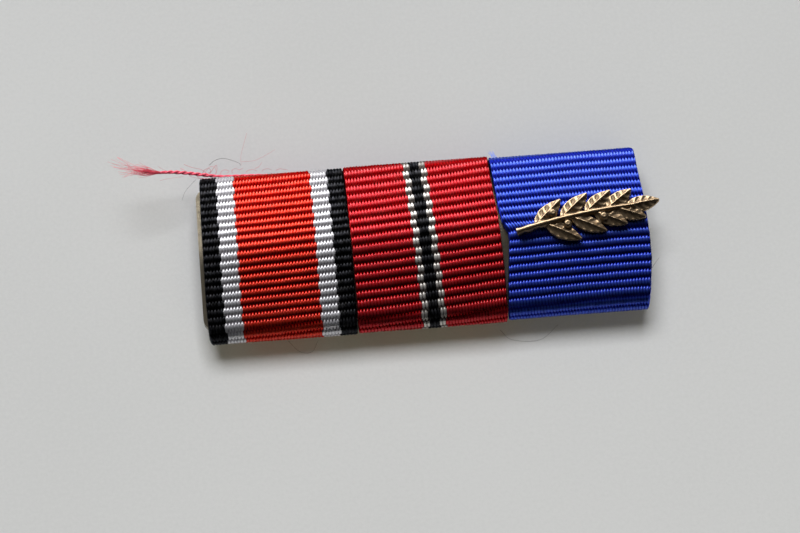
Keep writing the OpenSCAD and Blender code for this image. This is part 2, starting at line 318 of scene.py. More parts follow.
@dataclass(frozen=True)
class Finish:
    """A finish that builds its material once."""

    name: str

    def shader(self, desk: NodeDesk) -> bpy.types.Node:
        """Adds the finish's nodes to the desk of its material, and returns its shader."""
        raise NotImplementedError

    def material(self) -> bpy.types.Material:
        """Builds the finish's material, or finds it, and returns it."""
        material = bpy.data.materials.get(self.name)
        if material is None:
            material = bpy.data.materials.new(self.name)
            material.use_nodes = True
            material.node_tree.nodes.clear()
            desk = NodeDesk(material.node_tree)
            desk.add("ShaderNodeOutputMaterial", {"Surface": self.shader(desk).outputs[0]})
        return material


@dataclass(frozen=True)
class ThreadFinish(Finish):
    """Silk yarn of one colour, with a darker colour for its painted shade, or a bare fibre, which has no
    metal-like gloss and no stretched light.
    """

    crest: Colour
    # The darker colour that painted shade mixes in, in hollows and on the shaded sides of the ribs.
    trough: Colour
    sheen_tint: Colour
    spread: float = 0.16
    streaks: float = 0.5
    fibres: float = 5.0
    twist: float = 1.2
    specular: float = 0.5
    metal: float = 0.76
    deep_metal: float = 0.97
    stretch: float = 0.9
    coat: float = 0.5
    sheen: float = 0.04
    lint: float = 0.06

    BUMP = 0.4
    BUMP_RISE = 0.015
    ACROSS_YARN = 0.25
    SHEEN_ROUGH = 0.4
    COAT_ROUGH = 0.25

    @classmethod
    def bare(cls, name: str, *colours: Colour, **settings: float) -> "ThreadFinish":
        """Describes a bare fibre, with the settings that differ from plain ones, and returns its finish."""
        plain = {"spread": 0.3, "metal": 0.0, "deep_metal": 0.0, "stretch": 0.0, "coat": 0.0, "lint": 0.0}
        return cls(name, *colours, **(plain | settings))

    def shader(self, desk: NodeDesk) -> bpy.types.Node:
        """Adds the yarn's nodes.

        Args:
            desk: the desk of the yarn's material.

        Returns:
            The shader.
        """
        shading = desk.group(EFFECTS.yarn, {
            "Crest": self.crest, "Trough": self.trough, "Yarn": desk.mark("yarn", "Vector"),
            "Depth": desk.mark("depth"), "Fibres": self.fibres, "Twist": self.twist, "Spread": self.spread,
            "Streaks": self.streaks, "Coat": self.coat, "Metal": self.metal, "DeepMetal": self.deep_metal,
        })
        colour = shading["Color"]
        if self.lint:
            colour = desk.group(EFFECTS.dust, {
                "Color": colour, "Dust": LINT, "Amount": self.lint, "Position": desk.place(),
            })["Color"]
        around = desk.add("ShaderNodeTangent", direction_type="RADIAL", axis="X")
        return desk.add("ShaderNodeBsdfPrincipled", {
            "Base Color": colour,
            "Roughness": shading["Roughness"],
            "Metallic": shading["Metallic"] if self.metal != self.deep_metal else self.metal,
            "Normal": desk.bump(self.BUMP, self.BUMP_RISE, shading["Height"]),
            "Specular IOR Level": self.specular, "Specular Tint": self.sheen_tint,
            "Anisotropic": self.stretch, "Anisotropic Rotation": self.ACROSS_YARN,
            "Tangent": around.outputs[0],
            "Sheen Weight": self.sheen, "Sheen Roughness": self.SHEEN_ROUGH, "Sheen Tint": self.sheen_tint,
            "Coat Weight": shading["Coat"] if self.coat else self.coat, "Coat Roughness": self.COAT_ROUGH,
        })


class Thread(Enum):
    """The yarns that the ribbons are woven from, each with its crest colour and then the darker colour of its
    painted shade.
    """

    # The black silk's large streaks value paints sparse bright fibre glints into its colour.
    BLACK = ThreadFinish(
        "black_silk", paint(46, 46, 50), paint(9, 9, 11), paint(220, 225, 235), spread=0.8, streaks=6.0,
        fibres=2.0, specular=0.1, metal=0.6, coat=0.03, sheen=0.01,
    )
    WHITE = ThreadFinish(
        "white_silk", paint(244, 243, 247), paint(196, 193, 198), paint(255, 255, 255), spread=0.06,
        deep_metal=0.55,
    )
    ORANGE_RED = ThreadFinish("orange_red_silk", paint(244, 64, 36), paint(188, 4, 2), paint(255, 180, 155))
    CRIMSON = ThreadFinish("crimson_silk", paint(210, 38, 50), paint(168, 2, 8), paint(255, 185, 185))
    CREAM = ThreadFinish(
        "cream_silk", paint(252, 248, 242), paint(104, 94, 88), paint(255, 252, 246), spread=0.08,
        deep_metal=0.6,
    )
    BLUE = ThreadFinish("blue_silk", paint(64, 98, 212), paint(28, 42, 174), paint(190, 205, 255))


LOOSE_SILK = ThreadFinish.bare(
    "loose_crimson_silk", paint(240, 92, 112), paint(196, 50, 72), paint(255, 160, 170), spread=0.5,
    fibres=4.0, twist=6.0, coat=0.1, sheen=0.9, lint=0.05,
)
CRIMSON_FIBRE = ThreadFinish.bare(
    "fine_crimson_fibre", paint(206, 96, 108), paint(150, 30, 40), paint(255, 190, 190), spread=0.4,
    sheen=0.3,
)
DARK_FIBRE = ThreadFinish.bare("dark_hair", paint(70, 56, 54), paint(40, 30, 30), paint(180, 170, 170))
BLUE_FIBRE = ThreadFinish.bare(
    "fine_blue_fibre", paint(96, 128, 226), paint(40, 60, 160), paint(170, 190, 255), sheen=0.4,
)


@dataclass(frozen=True)
class MetalFinish(Finish):
    """Metal of one kind, with the colours of its hollows and rubbed edges."""

    metal: Colour
    tarnish: Colour
    bright: Colour
    mottle: float
    grain: float
    bump: float
    hollow_mask: str = ""
    edge_mask: str = ""

    BUMP_RISE = 0.03

    def shader(self, desk: NodeDesk) -> bpy.types.Node:
        """Adds the metal's nodes.

        Args:
            desk: the desk of the metal's material.

        Returns:
            The shader.
        """
        worn = desk.group(EFFECTS.worn_metal, {
            "Metal": self.metal, "Tarnish": self.tarnish, "Bright": self.bright,
            "Hollow": desk.mark(self.hollow_mask) if self.hollow_mask else 0.0,
            "Edge": desk.mark(self.edge_mask) if self.edge_mask else 0.0,
            "Mottle": self.mottle, "Grain": self.grain, "Position": desk.place(),
        })
        return desk.add("ShaderNodeBsdfPrincipled", {
            "Base Color": worn["Color"], "Roughness": worn["Roughness"], "Metallic": worn["Metallic"],
            "Normal": desk.bump(self.bump, self.BUMP_RISE, worn["Height"]),
        })


# The sprig's ridge mark brightens its raised edges: rubbed wear and a painted edge highlight.
BRONZE = MetalFinish(
    "antique_bronze", paint(170, 146, 116), paint(40, 30, 22), paint(238, 216, 188), mottle=0.5,
    grain=1400.0, bump=0.35, hollow_mask="hollow", edge_mask="rubbed_and_highlit",
)
KHAKI_STEEL = MetalFinish(
    "khaki_steel", paint(122, 114, 99), paint(54, 50, 43), paint(178, 174, 160), mottle=1.7, grain=2000.0,
    bump=0.5,
)
PIN_STEEL = MetalFinish(
    "pin_steel", paint(168, 166, 162), paint(96, 90, 84), paint(225, 224, 220), mottle=0.9, grain=700.0,
    bump=0.4,
)


@dataclass(frozen=True)
class BoardFinish(Finish):
    """Matt board with a faint grain."""

    colour: Colour
    grain: float = 2600.0
    clouds: float = 18.0
    uneven: tuple[float, float] = (0.965, 1.035)
    rough: float = 0.62
    specular: float = 0.1
    bump: float = 0.25

    BUMP_RISE = 0.05
    NOISE_RANGE = (0.6, 1.4)
    GRAIN_DETAIL = 3.0
    GRAIN_ROUGH = 0.6
    CLOUD_DETAIL = 2.0

    def shader(self, desk: NodeDesk) -> bpy.types.Node:
        """Adds the board's nodes.

        Args:
            desk: the desk of the board's material.

        Returns:
            The shader.
        """
        place = desk.place()
        grain = desk.noise(place, self.grain, self.GRAIN_DETAIL, self.GRAIN_ROUGH)
        both = desk.plus(grain, desk.noise(place, self.clouds, self.CLOUD_DETAIL))
        level = desk.ramp(both, *self.NOISE_RANGE, *self.uneven)
        return desk.add("ShaderNodeBsdfPrincipled", {
            "Base Color": desk.scale(self.colour[:3], level), "Roughness": self.rough,
            "Specular IOR Level": self.specular, "Normal": desk.bump(self.bump, self.BUMP_RISE, grain),
        })


PALE_BOARD = BoardFinish("pale_board", paint(214, 214, 212))


# Shapes.


def even_path(points: Sequence[Place], count: int) -> np.ndarray:
    """Draws a smooth line through points.

    Args:
        points: places in millimetres, in order.
        count: number of places on the finished line.

    Returns:
        The line's places, evenly spaced, as an array of rows.
    """
    steps_a_place = 12
    knots = np.array(points, float)
    ends = np.vstack([2 * knots[0] - knots[1], knots, 2 * knots[-1] - knots[-2]])
    span = np.linspace(0, len(knots) - 1, steps_a_place * count)
    first = np.minimum(span.astype(int), len(knots) - 2)
    t = (span - first)[:, None]
    a, b, c, d = (ends[first + shift] for shift in range(4))
    line = 0.5 * (2 * b + (c - a) * t + (2 * a - 5 * b + 4 * c - d) * t**2 + (3 * b - a - 3 * c + d) * t**3)
    run = run_along(line)
    even = np.linspace(0, run[-1], count)
    return np.stack([np.interp(even, run, line[:, axis]) for axis in range(3)], 1)


def run_along(path: np.ndarray) -> np.ndarray:
    """Measures the length of a line up to each of its places."""
    return np.r_[0, np.cumsum(np.linalg.norm(np.diff(path, axis=0), axis=1))]


def unit(rows: np.ndarray) -> np.ndarray:
    """Turns each row into a direction of length one."""
    return rows / np.linalg.norm(rows, axis=-1, keepdims=True)


def store_marks(mesh: bpy.types.Mesh, name: str, values: np.ndarray) -> None:
    """Keeps a number or a triple of numbers at each point of a mesh, under a name that materials read."""
    kind, key = ("FLOAT_VECTOR", "vector") if values.ndim > 1 else ("FLOAT", "value")
    mesh.attributes.new(name, kind, "POINT").data.foreach_set(key, values.astype(np.float32).ravel())


def read_points(mesh: bpy.types.Mesh, what: str) -> np.ndarray:
    """Reads the places or the normals of a mesh's points.

    Args:
        mesh: the mesh.
        what: "co" for its places or "normal" for its normals.

    Returns:
        The places or normals, a row each.
    """
    values = np.zeros(len(mesh.vertices) * 3, np.float32)
    mesh.vertices.foreach_get(what, values)
    return values.reshape(-1, 3)


def set_places(mesh: bpy.types.Mesh, points: np.ndarray) -> None:
    """Moves the points of a mesh to new places."""
    mesh.vertices.foreach_set("co", points.astype(np.float32).ravel())
    mesh.update()


def faces_between(rings: int, sides: int) -> list[tuple[int, ...]]:
    """Lists the faces between rings of points that follow each other, `sides` points in each."""
    return [
        (start + k, start + (k + 1) % sides, start + sides + (k + 1) % sides, start + sides + k)
        for start in range(0, (rings - 1) * sides, sides) for k in range(sides)
    ]


def closed_faces(rings: int, sides: int) -> list[tuple[int, ...]]:
    """Lists the faces between rings of points, and the two flat ends at last."""
    last = (rings - 1) * sides
    return faces_between(rings, sides) + [tuple(range(sides - 1, -1, -1)), tuple(range(last, last + sides))]


def make_mesh(name: str, points: np.ndarray, faces: Sequence[Sequence[int]]) -> bpy.types.Mesh:
    """Makes a mesh.

    Args:
        name: name of the mesh.
        points: its places in metres, a row each.
        faces: the numbers of each face's points.

    Returns:
        The new mesh.
    """
    mesh = bpy.data.meshes.new(name)
    mesh.from_pydata(points.tolist(), [], faces)
    return mesh


def add_object(name: str, data: bpy.types.ID) -> bpy.types.Object:
    """Puts a mesh, a light or a camera into the scene.

    Args:
        name: name of the object.
        data: the mesh, light or camera.

    Returns:
        The new object.
    """
    item = bpy.data.objects.new(name, data)
    bpy.context.scene.collection.objects.link(item)
    return item


class Stack:
    """Collects closed shapes, in millimetres, into one mesh."""

    TUBE_DEPTH = 0.15
    START_ASIDE = (0.31, 0.17, 0.93)

    def __init__(self) -> None:
        """Starts empty."""
        self.points: list[np.ndarray] = []
        self.faces: list[tuple[int, ...]] = []
        self.marks: dict[str, list[np.ndarray]] = {}
        self.total = 0

    def add(self, points: np.ndarray, faces: Sequence[Sequence[int]], **marks: np.ndarray) -> None:
        """Adds a shape.

        Args:
            points: its places, a row each.
            faces: the numbers of each face's points.
            marks: values at the points, by the name that materials read them by.
        """
        self.points.append(np.asarray(points, float))
        self.faces += [tuple(int(number) + self.total for number in face) for face in faces]
        for name, values in marks.items():
            self.marks.setdefault(name, []).append(values)
        self.total += len(points)

    def tube(self, path: np.ndarray, radii: np.ndarray, sides: int, chance: float) -> None:
        """Adds a round tube along a line.

        Args:
            path: the line's places, a row each.
            radii: the tube's radius at each place.
            sides: number of sides round the tube.
            chance: number from 0 to 1 that shifts the tube's tint.
        """
        ahead = unit(np.gradient(path, axis=0))
        side = np.cross(ahead[0], self.START_ASIDE)
        turns = np.linspace(0, math.tau, sides, endpoint=False)
        rings = []
        for place, aim, radius in zip(path, ahead, radii):
            side = unit(side - aim * (side @ aim))
            up = np.cross(aim, side)
            rings.append(place + radius * (np.cos(turns)[:, None] * side + np.sin(turns)[:, None] * up))
        count = len(path)
        length = np.linspace(0, run_along(path)[-1], count)
        yarn = np.stack([
            np.tile(turns / math.tau, count), np.repeat(length, sides), np.full(count * sides, chance),
        ], 1)
        depth = np.full(count * sides, self.TUBE_DEPTH)
        self.add(np.vstack(rings), closed_faces(count, sides), yarn=yarn, depth=depth)

    def slab(self, face: np.ndarray, back: np.ndarray, rows: int, columns: int) -> None:
        """Adds a closed slab between two grids of places, the face over the back.

        Args:
            face: places of the front, a row each.
            back: places of the back, in the same order.
            rows: number of rows of each grid.
            columns: number of places in a row.
        """
        count = rows * columns
        faces = []
        for a in (row * columns + column for row in range(rows - 1) for column in range(columns - 1)):
            b = a + columns
            faces += [(a, b, b + 1, a + 1), (count + a, count + a + 1, count + b + 1, count + b)]
        rim = list(range(columns))
        rim += [row * columns + columns - 1 for row in range(1, rows)]
        rim += [(rows - 1) * columns + column for column in range(columns - 2, -1, -1)]
        rim += [row * columns for row in range(rows - 2, 0, -1)]
        faces += [(a, b, count + b, count + a) for a, b in zip(rim, rim[1:] + rim[:1])]
        self.add(np.vstack([face, back]), faces)

    def build(self, name: str, finish: Finish) -> bpy.types.Object:
        """Makes the collected shapes one object.

        Args:
            name: name of the object.
            finish: the finish that it wears.

        Returns:
            The new object.
        """
        mesh = make_mesh(name, np.vstack(self.points) * MM, self.faces)
        for label, values in self.marks.items():
            store_marks(mesh, label, np.concatenate(values))
        mesh.materials.append(finish.material())
        mesh.shade_smooth()
        return add_object(name, mesh)


# The bar's form.


@dataclass(frozen=True)
class BarForm:
    """Section of the bar, in millimetres: two flat halves that lean back from a soft bend in the middle."""

    bend_r: float = 14.0
    lean: float = math.radians(5)
    plate_h: float = 15.8
    plate_t: float = 0.7
    fit: float = 0.1
    ribbon_w: float = 15.1
    ribbon_t: float = 1.0
    rib_rise: float = 0.16
    seam: float = 0.15
    strip_w: float = 5.0
    lap_gap: float = 0.4
    fold_measure: float = 0.75

    @property
    def inner_r(self) -> float:
        """Radius of the ribbons' inner side where they fold round the plate's edges."""
        return self.plate_t / 2 + self.fit

    @property
    def fold_len(self) -> float:
        """Length of a ribbon round one fold."""
        return math.pi * (self.inner_r + self.ribbon_t * self.fold_measure)

    @property
    def ridge_z(self) -> float:
        """Height of the middle of the plate at its bend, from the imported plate."""
        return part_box("back_plate")[1].z / MM - self.plate_t / 2

    @property
    def middle_x(self) -> float:
        """Middle of the middle ribbon along the bar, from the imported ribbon."""
        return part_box("ribbon_middle")[0].x / MM + self.ribbon_w / 2

    def half(self, slack: float) -> float:
        """Length of a ribbon from the middle of the face to the start of its fold."""
        return self.plate_h / 2 - self.plate_t / 2 + slack

    def reach(self, slack: float) -> float:
        """Length of a ribbon from the middle of the face to the end of a lap."""
        half = self.half(slack)
        return half + self.fold_len + half - self.strip_w / 2 - self.lap_gap

    def spine(self, s: np.ndarray) -> tuple[np.ndarray, np.ndarray, np.ndarray]:
        """Follows the plate's middle surface.

        Args:
            s: distance from the bend, along the face.

        Returns:
            The place in Y, the place in Z from the bend, and the lean in radians.
        """
        side = np.where(s < 0, -1.0, 1.0)
        run = np.minimum(np.abs(s), self.bend_r * self.lean)
        angle = run / self.bend_r
        rest = np.abs(s) - run
        y = side * (self.bend_r * np.sin(angle) + rest * math.cos(self.lean))
        z = -(self.bend_r * (1 - np.cos(angle)) + rest * math.sin(self.lean))
        return y, z, -side * angle

    def over_spine(self, s: np.ndarray, off: np.ndarray) -> tuple[np.ndarray, np.ndarray]:
        """Finds the places, in Y and Z, that stand `off` in front of the plate's middle surface."""
        y, z, lean = self.spine(s)
        return y - off * np.sin(lean), z + off * np.cos(lean)

    def wrap(self, u: np.ndarray, out: np.ndarray, slack: float) -> tuple[np.ndarray, np.ndarray]:
        """Follows a ribbon that is wrapped round the plate.

        Args:
            u: length along the ribbon from the middle of the face.
            out: height over the ribbon's inner side.
            slack: spare length over the plate's edges.

        Returns:
            The places in Y and Z, in the bar's frame.
        """
        half = self.half(slack)
        side = np.where(u < 0, -1.0, 1.0)
        over = np.abs(u) - half
        r = self.inner_r + out
        front_y, front_z = self.over_spine(u, r)
        back_y, back_z = self.over_spine(side * (half - over + self.fold_len), -r)
        mid_y, mid_z, mid_lean = self.spine(side * half)
        angle = math.pi * over / self.fold_len - side * mid_lean
        fold_y = mid_y + side * r * np.sin(angle)
        fold_z = mid_z + r * np.cos(angle)
        y = np.where(over <= 0, front_y, np.where(over < self.fold_len, fold_y, back_y))
        z = np.where(over <= 0, front_z, np.where(over < self.fold_len, fold_z, back_z))
        return y, z + self.ridge_z


# Ribbons.


@dataclass(frozen=True)
class Stripe:
    """A stripe in the warp, up to a place across the ribbon that is counted in yarns."""

    until: float
    thread: Thread


@dataclass
class WovenRibbon:
    """A ribbed silk ribbon, folded round the plate and turned in behind it.

    Its warp yarns run round the plate. Each rib shows every second yarn, and the next rib the others.
    """

    node: str
    place: int
    yarns: int
    pitch: float
    slack: float
    stripes: tuple[Stripe, ...]
    rib_slopes: tuple[float, float, float]
    left_edge: Table = ((-1, 0), (1, 0))
    right_edge: Table = ((-1, 0), (1, 0))
    middle_drift: Table = ((-1, 0), (1, 0))
    corner_r: float = 0.0
    bead_lean: float = 0.12
    top_roll: float = 0.12
    low_roll: float = 0.05
    seed: int = 1
    form: BarForm = field(default_factory=BarForm)

    COLUMNS_PER_YARN = 6
    ROWS_OF_RIB = (0.0, 0.08, 0.19, 0.34, 0.66, 0.81, 0.92)
    LAST_ROW = 0.999
    SIDE_OUTS = (0.55, 0.28)
    INNER_COLUMNS = 12
    SPARE_YARNS = 4
    EDGE_INSET = 0.01

    # The relief of a yarn where it crosses a rib, in millimetres and as shares of the rib and the yarn.
    CREST = 1.155
    BEAD_REACH = 0.58
    BEAD_WIDTH = 1.05
    LOBE_DEPTH = 0.12
    FULLNESS = 2.1
    TAPER = 2.2
    FLATNESS = 1.8
    PAST_RIB = 0.5
    UNEVEN_PLACE = 0.012
    UNEVEN_WIDTH = 0.015
    UNEVEN_HEIGHT = 0.012
    LEAST_WIDTH = 1e-6

    # Tables by the share of the way along the ribbon, from the lap under its lower edge to the other.
    DIPS = ((0.25, 0.3, 0.4, 0.62), (0.13, 0.13, 0.11, 0.05))
    FLOORS = ((0.4, 0.62), (0.86, 0.92))
    # The shade tables paint shade: in the gaps between yarns, on the lower sides, upper ends and crests of
    # the ribs, deeper in the gaps and on the crests of the lower half of the face, which leans away from the
    # light.
    GAP_SHADES = ((0.3, 0.5, 0.7), (0.85, 0.6, 0.5))
    LOW_SHADES = ((0.27, 0.33, 0.6), (0.55, 0.75, 1.0))
    CREST_SHADES = ((0.35, 0.55), (0.3, 0.0))
    HIGH_SHADES = ((0.35, 0.6), (0.75, 0.7))

    # Painted shade of a yarn: gaps beside its leaning strokes, and its lower and upper ends.
    GAP_START = 0.5
    GAP_POWER = 2
    STROKE_LEAN = 0.35
    LIT_FROM = 0.1
    FOLD_SHARE = 0.33
    LOW_POWER = 0.7
    HIGH_POWER = 2.5
    SIDE_SHADE = 0.5

    EDGE_ROUND = 0.16
    EDGE_BULGE = 0.06
    BULGE_POWER = 0.5
    CORNER_POWER = 14
    ROLL_LENGTH = 3.4
    WOBBLE = 0.018
    WOBBLE_WAVES = (1.0, 2.3, 5.1)
    CHANCE_SEED = 100

    @property
    def reach(self) -> float:
        """Half the length of the ribbon."""
        return self.form.reach(self.slack)

    @property
    def ribs(self) -> int:
        """Number of ribs on the whole ribbon."""
        return 2 * round(self.reach / self.pitch)

    @property
    def flat_size(self) -> tuple[float, float]:
        """Width and length of the ribbon before it was folded, in metres."""
        return self.form.ribbon_w * MM, 2 * self.reach * MM

    @cached_property
    def chances(self) -> np.ndarray:
        """Small differences in place, width and height, from -1 to 1, of each yarn on each rib."""
        rng = np.random.default_rng(self.seed + self.CHANCE_SEED)
        chances = rng.uniform(-1, 1, (3, self.ribs + 2, self.yarns + self.SPARE_YARNS))
        chances[:, -1] = chances[:, 0]
        return chances

    def stripe_at(self, yarn: np.ndarray) -> np.ndarray:
        """Numbers of the stripes that the yarns at these places belong to."""
        return np.searchsorted([stripe.until for stripe in self.stripes[:-1]], yarn)

    def bead(self, rib: np.ndarray, along: np.ndarray, across: np.ndarray) -> tuple[np.ndarray, ...]:
        """Shapes the yarns that lie over one rib.

        Args:
            rib: number of the rib.
            along: distance from the rib's middle, as a share of the rib's width.
            across: distance from the ribbon's left edge, in yarns.

        Returns:
            Height over the ribbon's inner side, the place of the yarn's middle in yarns, and its painted
            shade.
        """
        phase = 0.5 * (rib % 2)
        local = across + phase + self.bead_lean * along
        number = np.floor(local).astype(int)
        shift, fat, tall = (self.chances[part][rib, number + 1] for part in range(3))
        off = np.abs(local - number - 0.5 + self.UNEVEN_PLACE * shift) * 2
        far = np.clip(np.abs(along) / self.BEAD_REACH, 0, 1)
        width = self.BEAD_WIDTH * (1 + self.UNEVEN_WIDTH * fat) * (1 - far**self.TAPER) ** (1 / self.TAPER)
        width = width + self.LEAST_WIDTH
        lobe = 1 - np.clip(1 - (off / width) ** self.FULLNESS, 0, 1) ** (1 / self.FULLNESS)
        near = np.clip(np.abs(along) / 0.5, 0, 1)
        share = rib / self.ribs
        sink = np.interp(share, *self.DIPS) * near**self.FLATNESS
        sink = sink + self.PAST_RIB * np.clip(np.abs(along) - 0.5, 0, 1)
        height = self.CREST - self.UNEVEN_HEIGHT * (1 + tall) - sink - self.LOBE_DEPTH * lobe
        stroke = np.abs(local - number - 0.5 - self.STROKE_LEAN * along) * 2
        shade = self.shade(share, along, stroke)
        return np.where(off < width, height, 0), number + 0.5 - phase, shade

    def shade(self, share: np.ndarray, along: np.ndarray, stroke: np.ndarray) -> np.ndarray:
        """Finds how deep in painted shade the yarns lie.

        Args:
            share: share of the way along the ribbon.
            along: distance from the rib's middle, as a share of the rib's width.
            stroke: distance from the middle of a yarn's stroke, as a share of half its width.

        Returns:
            The painted shade, from 0 on a lit crest to 1 in a hollow.
        """
        gap = np.clip((stroke - self.GAP_START) / (1 - self.GAP_START), 0, 1) ** self.GAP_POWER
        gap = gap * np.interp(share, *self.GAP_SHADES)
        gap = gap * ((along > -self.LIT_FROM) | (share < self.FOLD_SHARE))
        low = np.clip((self.LIT_FROM - along) / (0.5 + self.LIT_FROM), 0, 1) ** self.LOW_POWER
        low = low * np.interp(share, *self.LOW_SHADES)
        high = np.clip(along / 0.5, 0, 1) ** self.HIGH_POWER * np.interp(share, *self.HIGH_SHADES)
        crest = np.interp(share, *self.CREST_SHADES)
        return np.maximum(np.maximum(gap, crest), np.maximum(low, high))

    def weave(self, rib: np.ndarray, along: np.ndarray, across: np.ndarray) -> tuple[np.ndarray, ...]:
        """Lays the yarns of neighbouring ribs over each other.

        Args:
            rib: number of the rib at each place.
            along: distance from the rib's lower side, as a share of the rib's width.
            across: distance from the ribbon's left edge, in yarns.

        Returns:
            Height of the cloth, the place in yarns of the yarn that lies on top, and its painted shade.
        """
        own, own_yarn, own_shade = self.bead(rib, along - 0.5, across)
        step = np.where(along < 0.5, -1, 1)
        other, other_yarn, other_shade = self.bead(rib + step, along - 0.5 - step, across)
        height = np.maximum(np.maximum(own, other), np.interp(rib / self.ribs, *self.FLOORS))
        on_top = own >= other
        yarn = np.clip(np.where(on_top, own_yarn, other_yarn), self.EDGE_INSET, self.yarns - self.EDGE_INSET)
        return height, yarn, np.where(on_top, own_shade, other_shade)

    def rib_rise_at(self, share: np.ndarray) -> np.ndarray:
        """Rise of the ribs along the bar, zero in the middle of the ribbon.

        Args:
            share: place across the ribbon, from 0 to 1.

        Returns:
            The rise in millimetres.
        """
        left, middle, right = self.rib_slopes
        bend = 2 * (left + right - 2 * middle)
        tilt = right - left - bend

        def rise(s: np.ndarray | float) -> np.ndarray | float:
            """Rise from the ribbon's left edge."""
            return self.form.ribbon_w * (left * s + tilt * s**2 / 2 + bend * s**3 / 3)

        return rise(share) - rise(0.5)

    def wobble(self, share: np.ndarray) -> np.ndarray:
        """Finds how far each rib wanders from its even place.

        Args:
            share: places across the ribbon, from 0 to 1.

        Returns:
            The distances in millimetres, a row for each rib and a column for each share.
        """
        rng = np.random.default_rng(self.seed)
        wobble = np.zeros((self.ribs + 2, len(share)))
        for waves in self.WOBBLE_WAVES:
            phases = rng.uniform(0, math.tau, (self.ribs + 2, 1))
            size = rng.normal(0, self.WOBBLE / waves**0.5, (self.ribs + 2, 1))
            wobble += size * np.sin(math.tau * waves * share[None, :] + phases)
        return wobble

    def lengths(self, count: np.ndarray, share: np.ndarray) -> np.ndarray:
        """Finds where a row of the cloth lies along the ribbon.

        Args:
            count: place of each row along the cloth, counted in ribs.
            share: place across the ribbon, from 0 to 1.

        Returns:
            Length from the middle of the face, for each row and place across.
        """
        even = count * 2 * self.reach / self.ribs - self.reach
        front = np.clip((self.reach - np.abs(even)) / (self.reach - self.form.half(self.slack)), 0, 1)
        front = front * front * (3 - 2 * front)
        low = count.astype(int)
        part = (count - low)[:, None]
        wobble = self.wobble(share)
        waved = wobble[low] * (1 - part) + wobble[low + 1] * part
        return even[:, None] + front[:, None] * (self.rib_rise_at(share)[None, :] + waved)

    def roll_at(self, count: np.ndarray) -> np.ndarray:
        """Finds the height that the cloth loses towards its folds.

        Args:
            count: places along the cloth, counted in ribs.

        Returns:
            The height lost there.
        """
        length = count * 2 * self.reach / self.ribs - self.reach
        near = np.clip(1 - (self.form.half(self.slack) - np.abs(length)) / self.ROLL_LENGTH, 0, 1)
        return np.where(length > 0, self.top_roll, self.low_roll) * near**2

    def drifted_x(self, y: np.ndarray, share: np.ndarray) -> np.ndarray:
        """Finds places along the bar on a ribbon whose edges and stripes drift.

        Args:
            y: height on the bar.
            share: place across the ribbon, from 0 to 1.

        Returns:
            Places in X, in the bar's frame.
        """
        form = self.form
        half_h = form.plate_h / 2 + self.slack + form.fit + form.ribbon_t + form.rib_rise
        width = form.ribbon_w
        drifts = (self.left_edge, self.right_edge, self.middle_drift)
        left, right, middle = (np.interp(y / half_h, *zip(*table)) * width for table in drifts)
        x0 = form.middle_x + self.place * (width + form.seam) - width / 2
        x = x0 + share * width + left * (1 - share) ** 2 + right * share**2 + middle * 4 * share * (1 - share)
        if self.corner_r:
            rise = np.clip(y - half_h + self.corner_r, 0, self.corner_r)
            inset = self.corner_r - np.sqrt(self.corner_r**2 - rise**2)
            x = x - inset * share**self.CORNER_POWER
        return x

    def build(self) -> bpy.types.Object:
        """Weaves the ribbon round the plate, and returns its object."""
        last = self.ribs - 1
        rib = np.r_[np.repeat(np.arange(self.ribs), len(self.ROWS_OF_RIB)), last]
        along = np.r_[np.tile(self.ROWS_OF_RIB, self.ribs), self.LAST_ROW]
        count = rib + along
        rows = len(rib)
        columns = self.yarns * self.COLUMNS_PER_YARN + 1
        across = np.linspace(0, self.yarns, columns)
        height, owner, shade = self.weave(rib[:, None], along[:, None], across[None, :])
        edge = np.minimum(across, self.yarns - across) * self.form.ribbon_w / self.yarns
        rim = np.clip(self.EDGE_ROUND - edge, 0, None)
        height = height - (self.EDGE_ROUND - np.sqrt(self.EDGE_ROUND**2 - rim**2))[None, :]
        height = height - self.roll_at(count)[:, None]
        swell = self.EDGE_BULGE * np.sin(math.pi * along) ** self.BULGE_POWER

        # One ring of points round the cloth for each row: face, right side, inner side, left side.
        inner = np.linspace(1, 0, self.INNER_COLUMNS + 1)
        sides = np.array(self.SIDE_OUTS)
        right, left = np.ones(len(sides)), np.zeros(len(sides))
        ones = np.ones((rows, 1))
        ring_share = np.r_[across / self.yarns, right, inner, left]
        ring_out = np.hstack([height, ones * sides, ones * 0 * inner, ones * sides[::-1]])
        bulge = np.r_[np.zeros(columns), right, 0 * inner, left - 1]
        y, z = self.form.wrap(self.lengths(count, ring_share), ring_out, self.slack)
        x = self.drifted_x(y, ring_share[None, :]) + bulge[None, :] * swell[:, None]
        ring = len(ring_share)
        points = np.stack([x, y, z], 2).reshape(-1, 3) * MM
        mesh = make_mesh(self.node + "_weave", points, closed_faces(rows, ring))
        self.colour(mesh, rib, along, across, ring_share)

        chance = np.full((rows, ring), 0.5)
        chance[:, :columns] = self.chances[0][rib[:, None], np.floor(owner).astype(int) + 1] / 2 + 0.5
        yarn = np.broadcast_to(ring_share * self.yarns, (rows, ring))
        counts = np.broadcast_to(count[:, None], (rows, ring))
        store_marks(mesh, "yarn", np.stack([yarn, counts, chance], 2).reshape(-1, 3))
        # Painted shade mark: on the face it is deeper in the troughs between ribs and follows the shade
        # tables; the sides and inner side get half.
        depth = np.full((rows, ring), self.SIDE_SHADE)
        level = self.CREST - self.roll_at(count)[:, None] - height
        depth[:, :columns] = np.maximum(np.clip(level / (self.CREST - self.FLOORS[1][0]), 0, 1), shade)
        store_marks(mesh, "depth", depth.ravel())
        mesh.update()
        return add_object(self.node + "_weave", mesh)

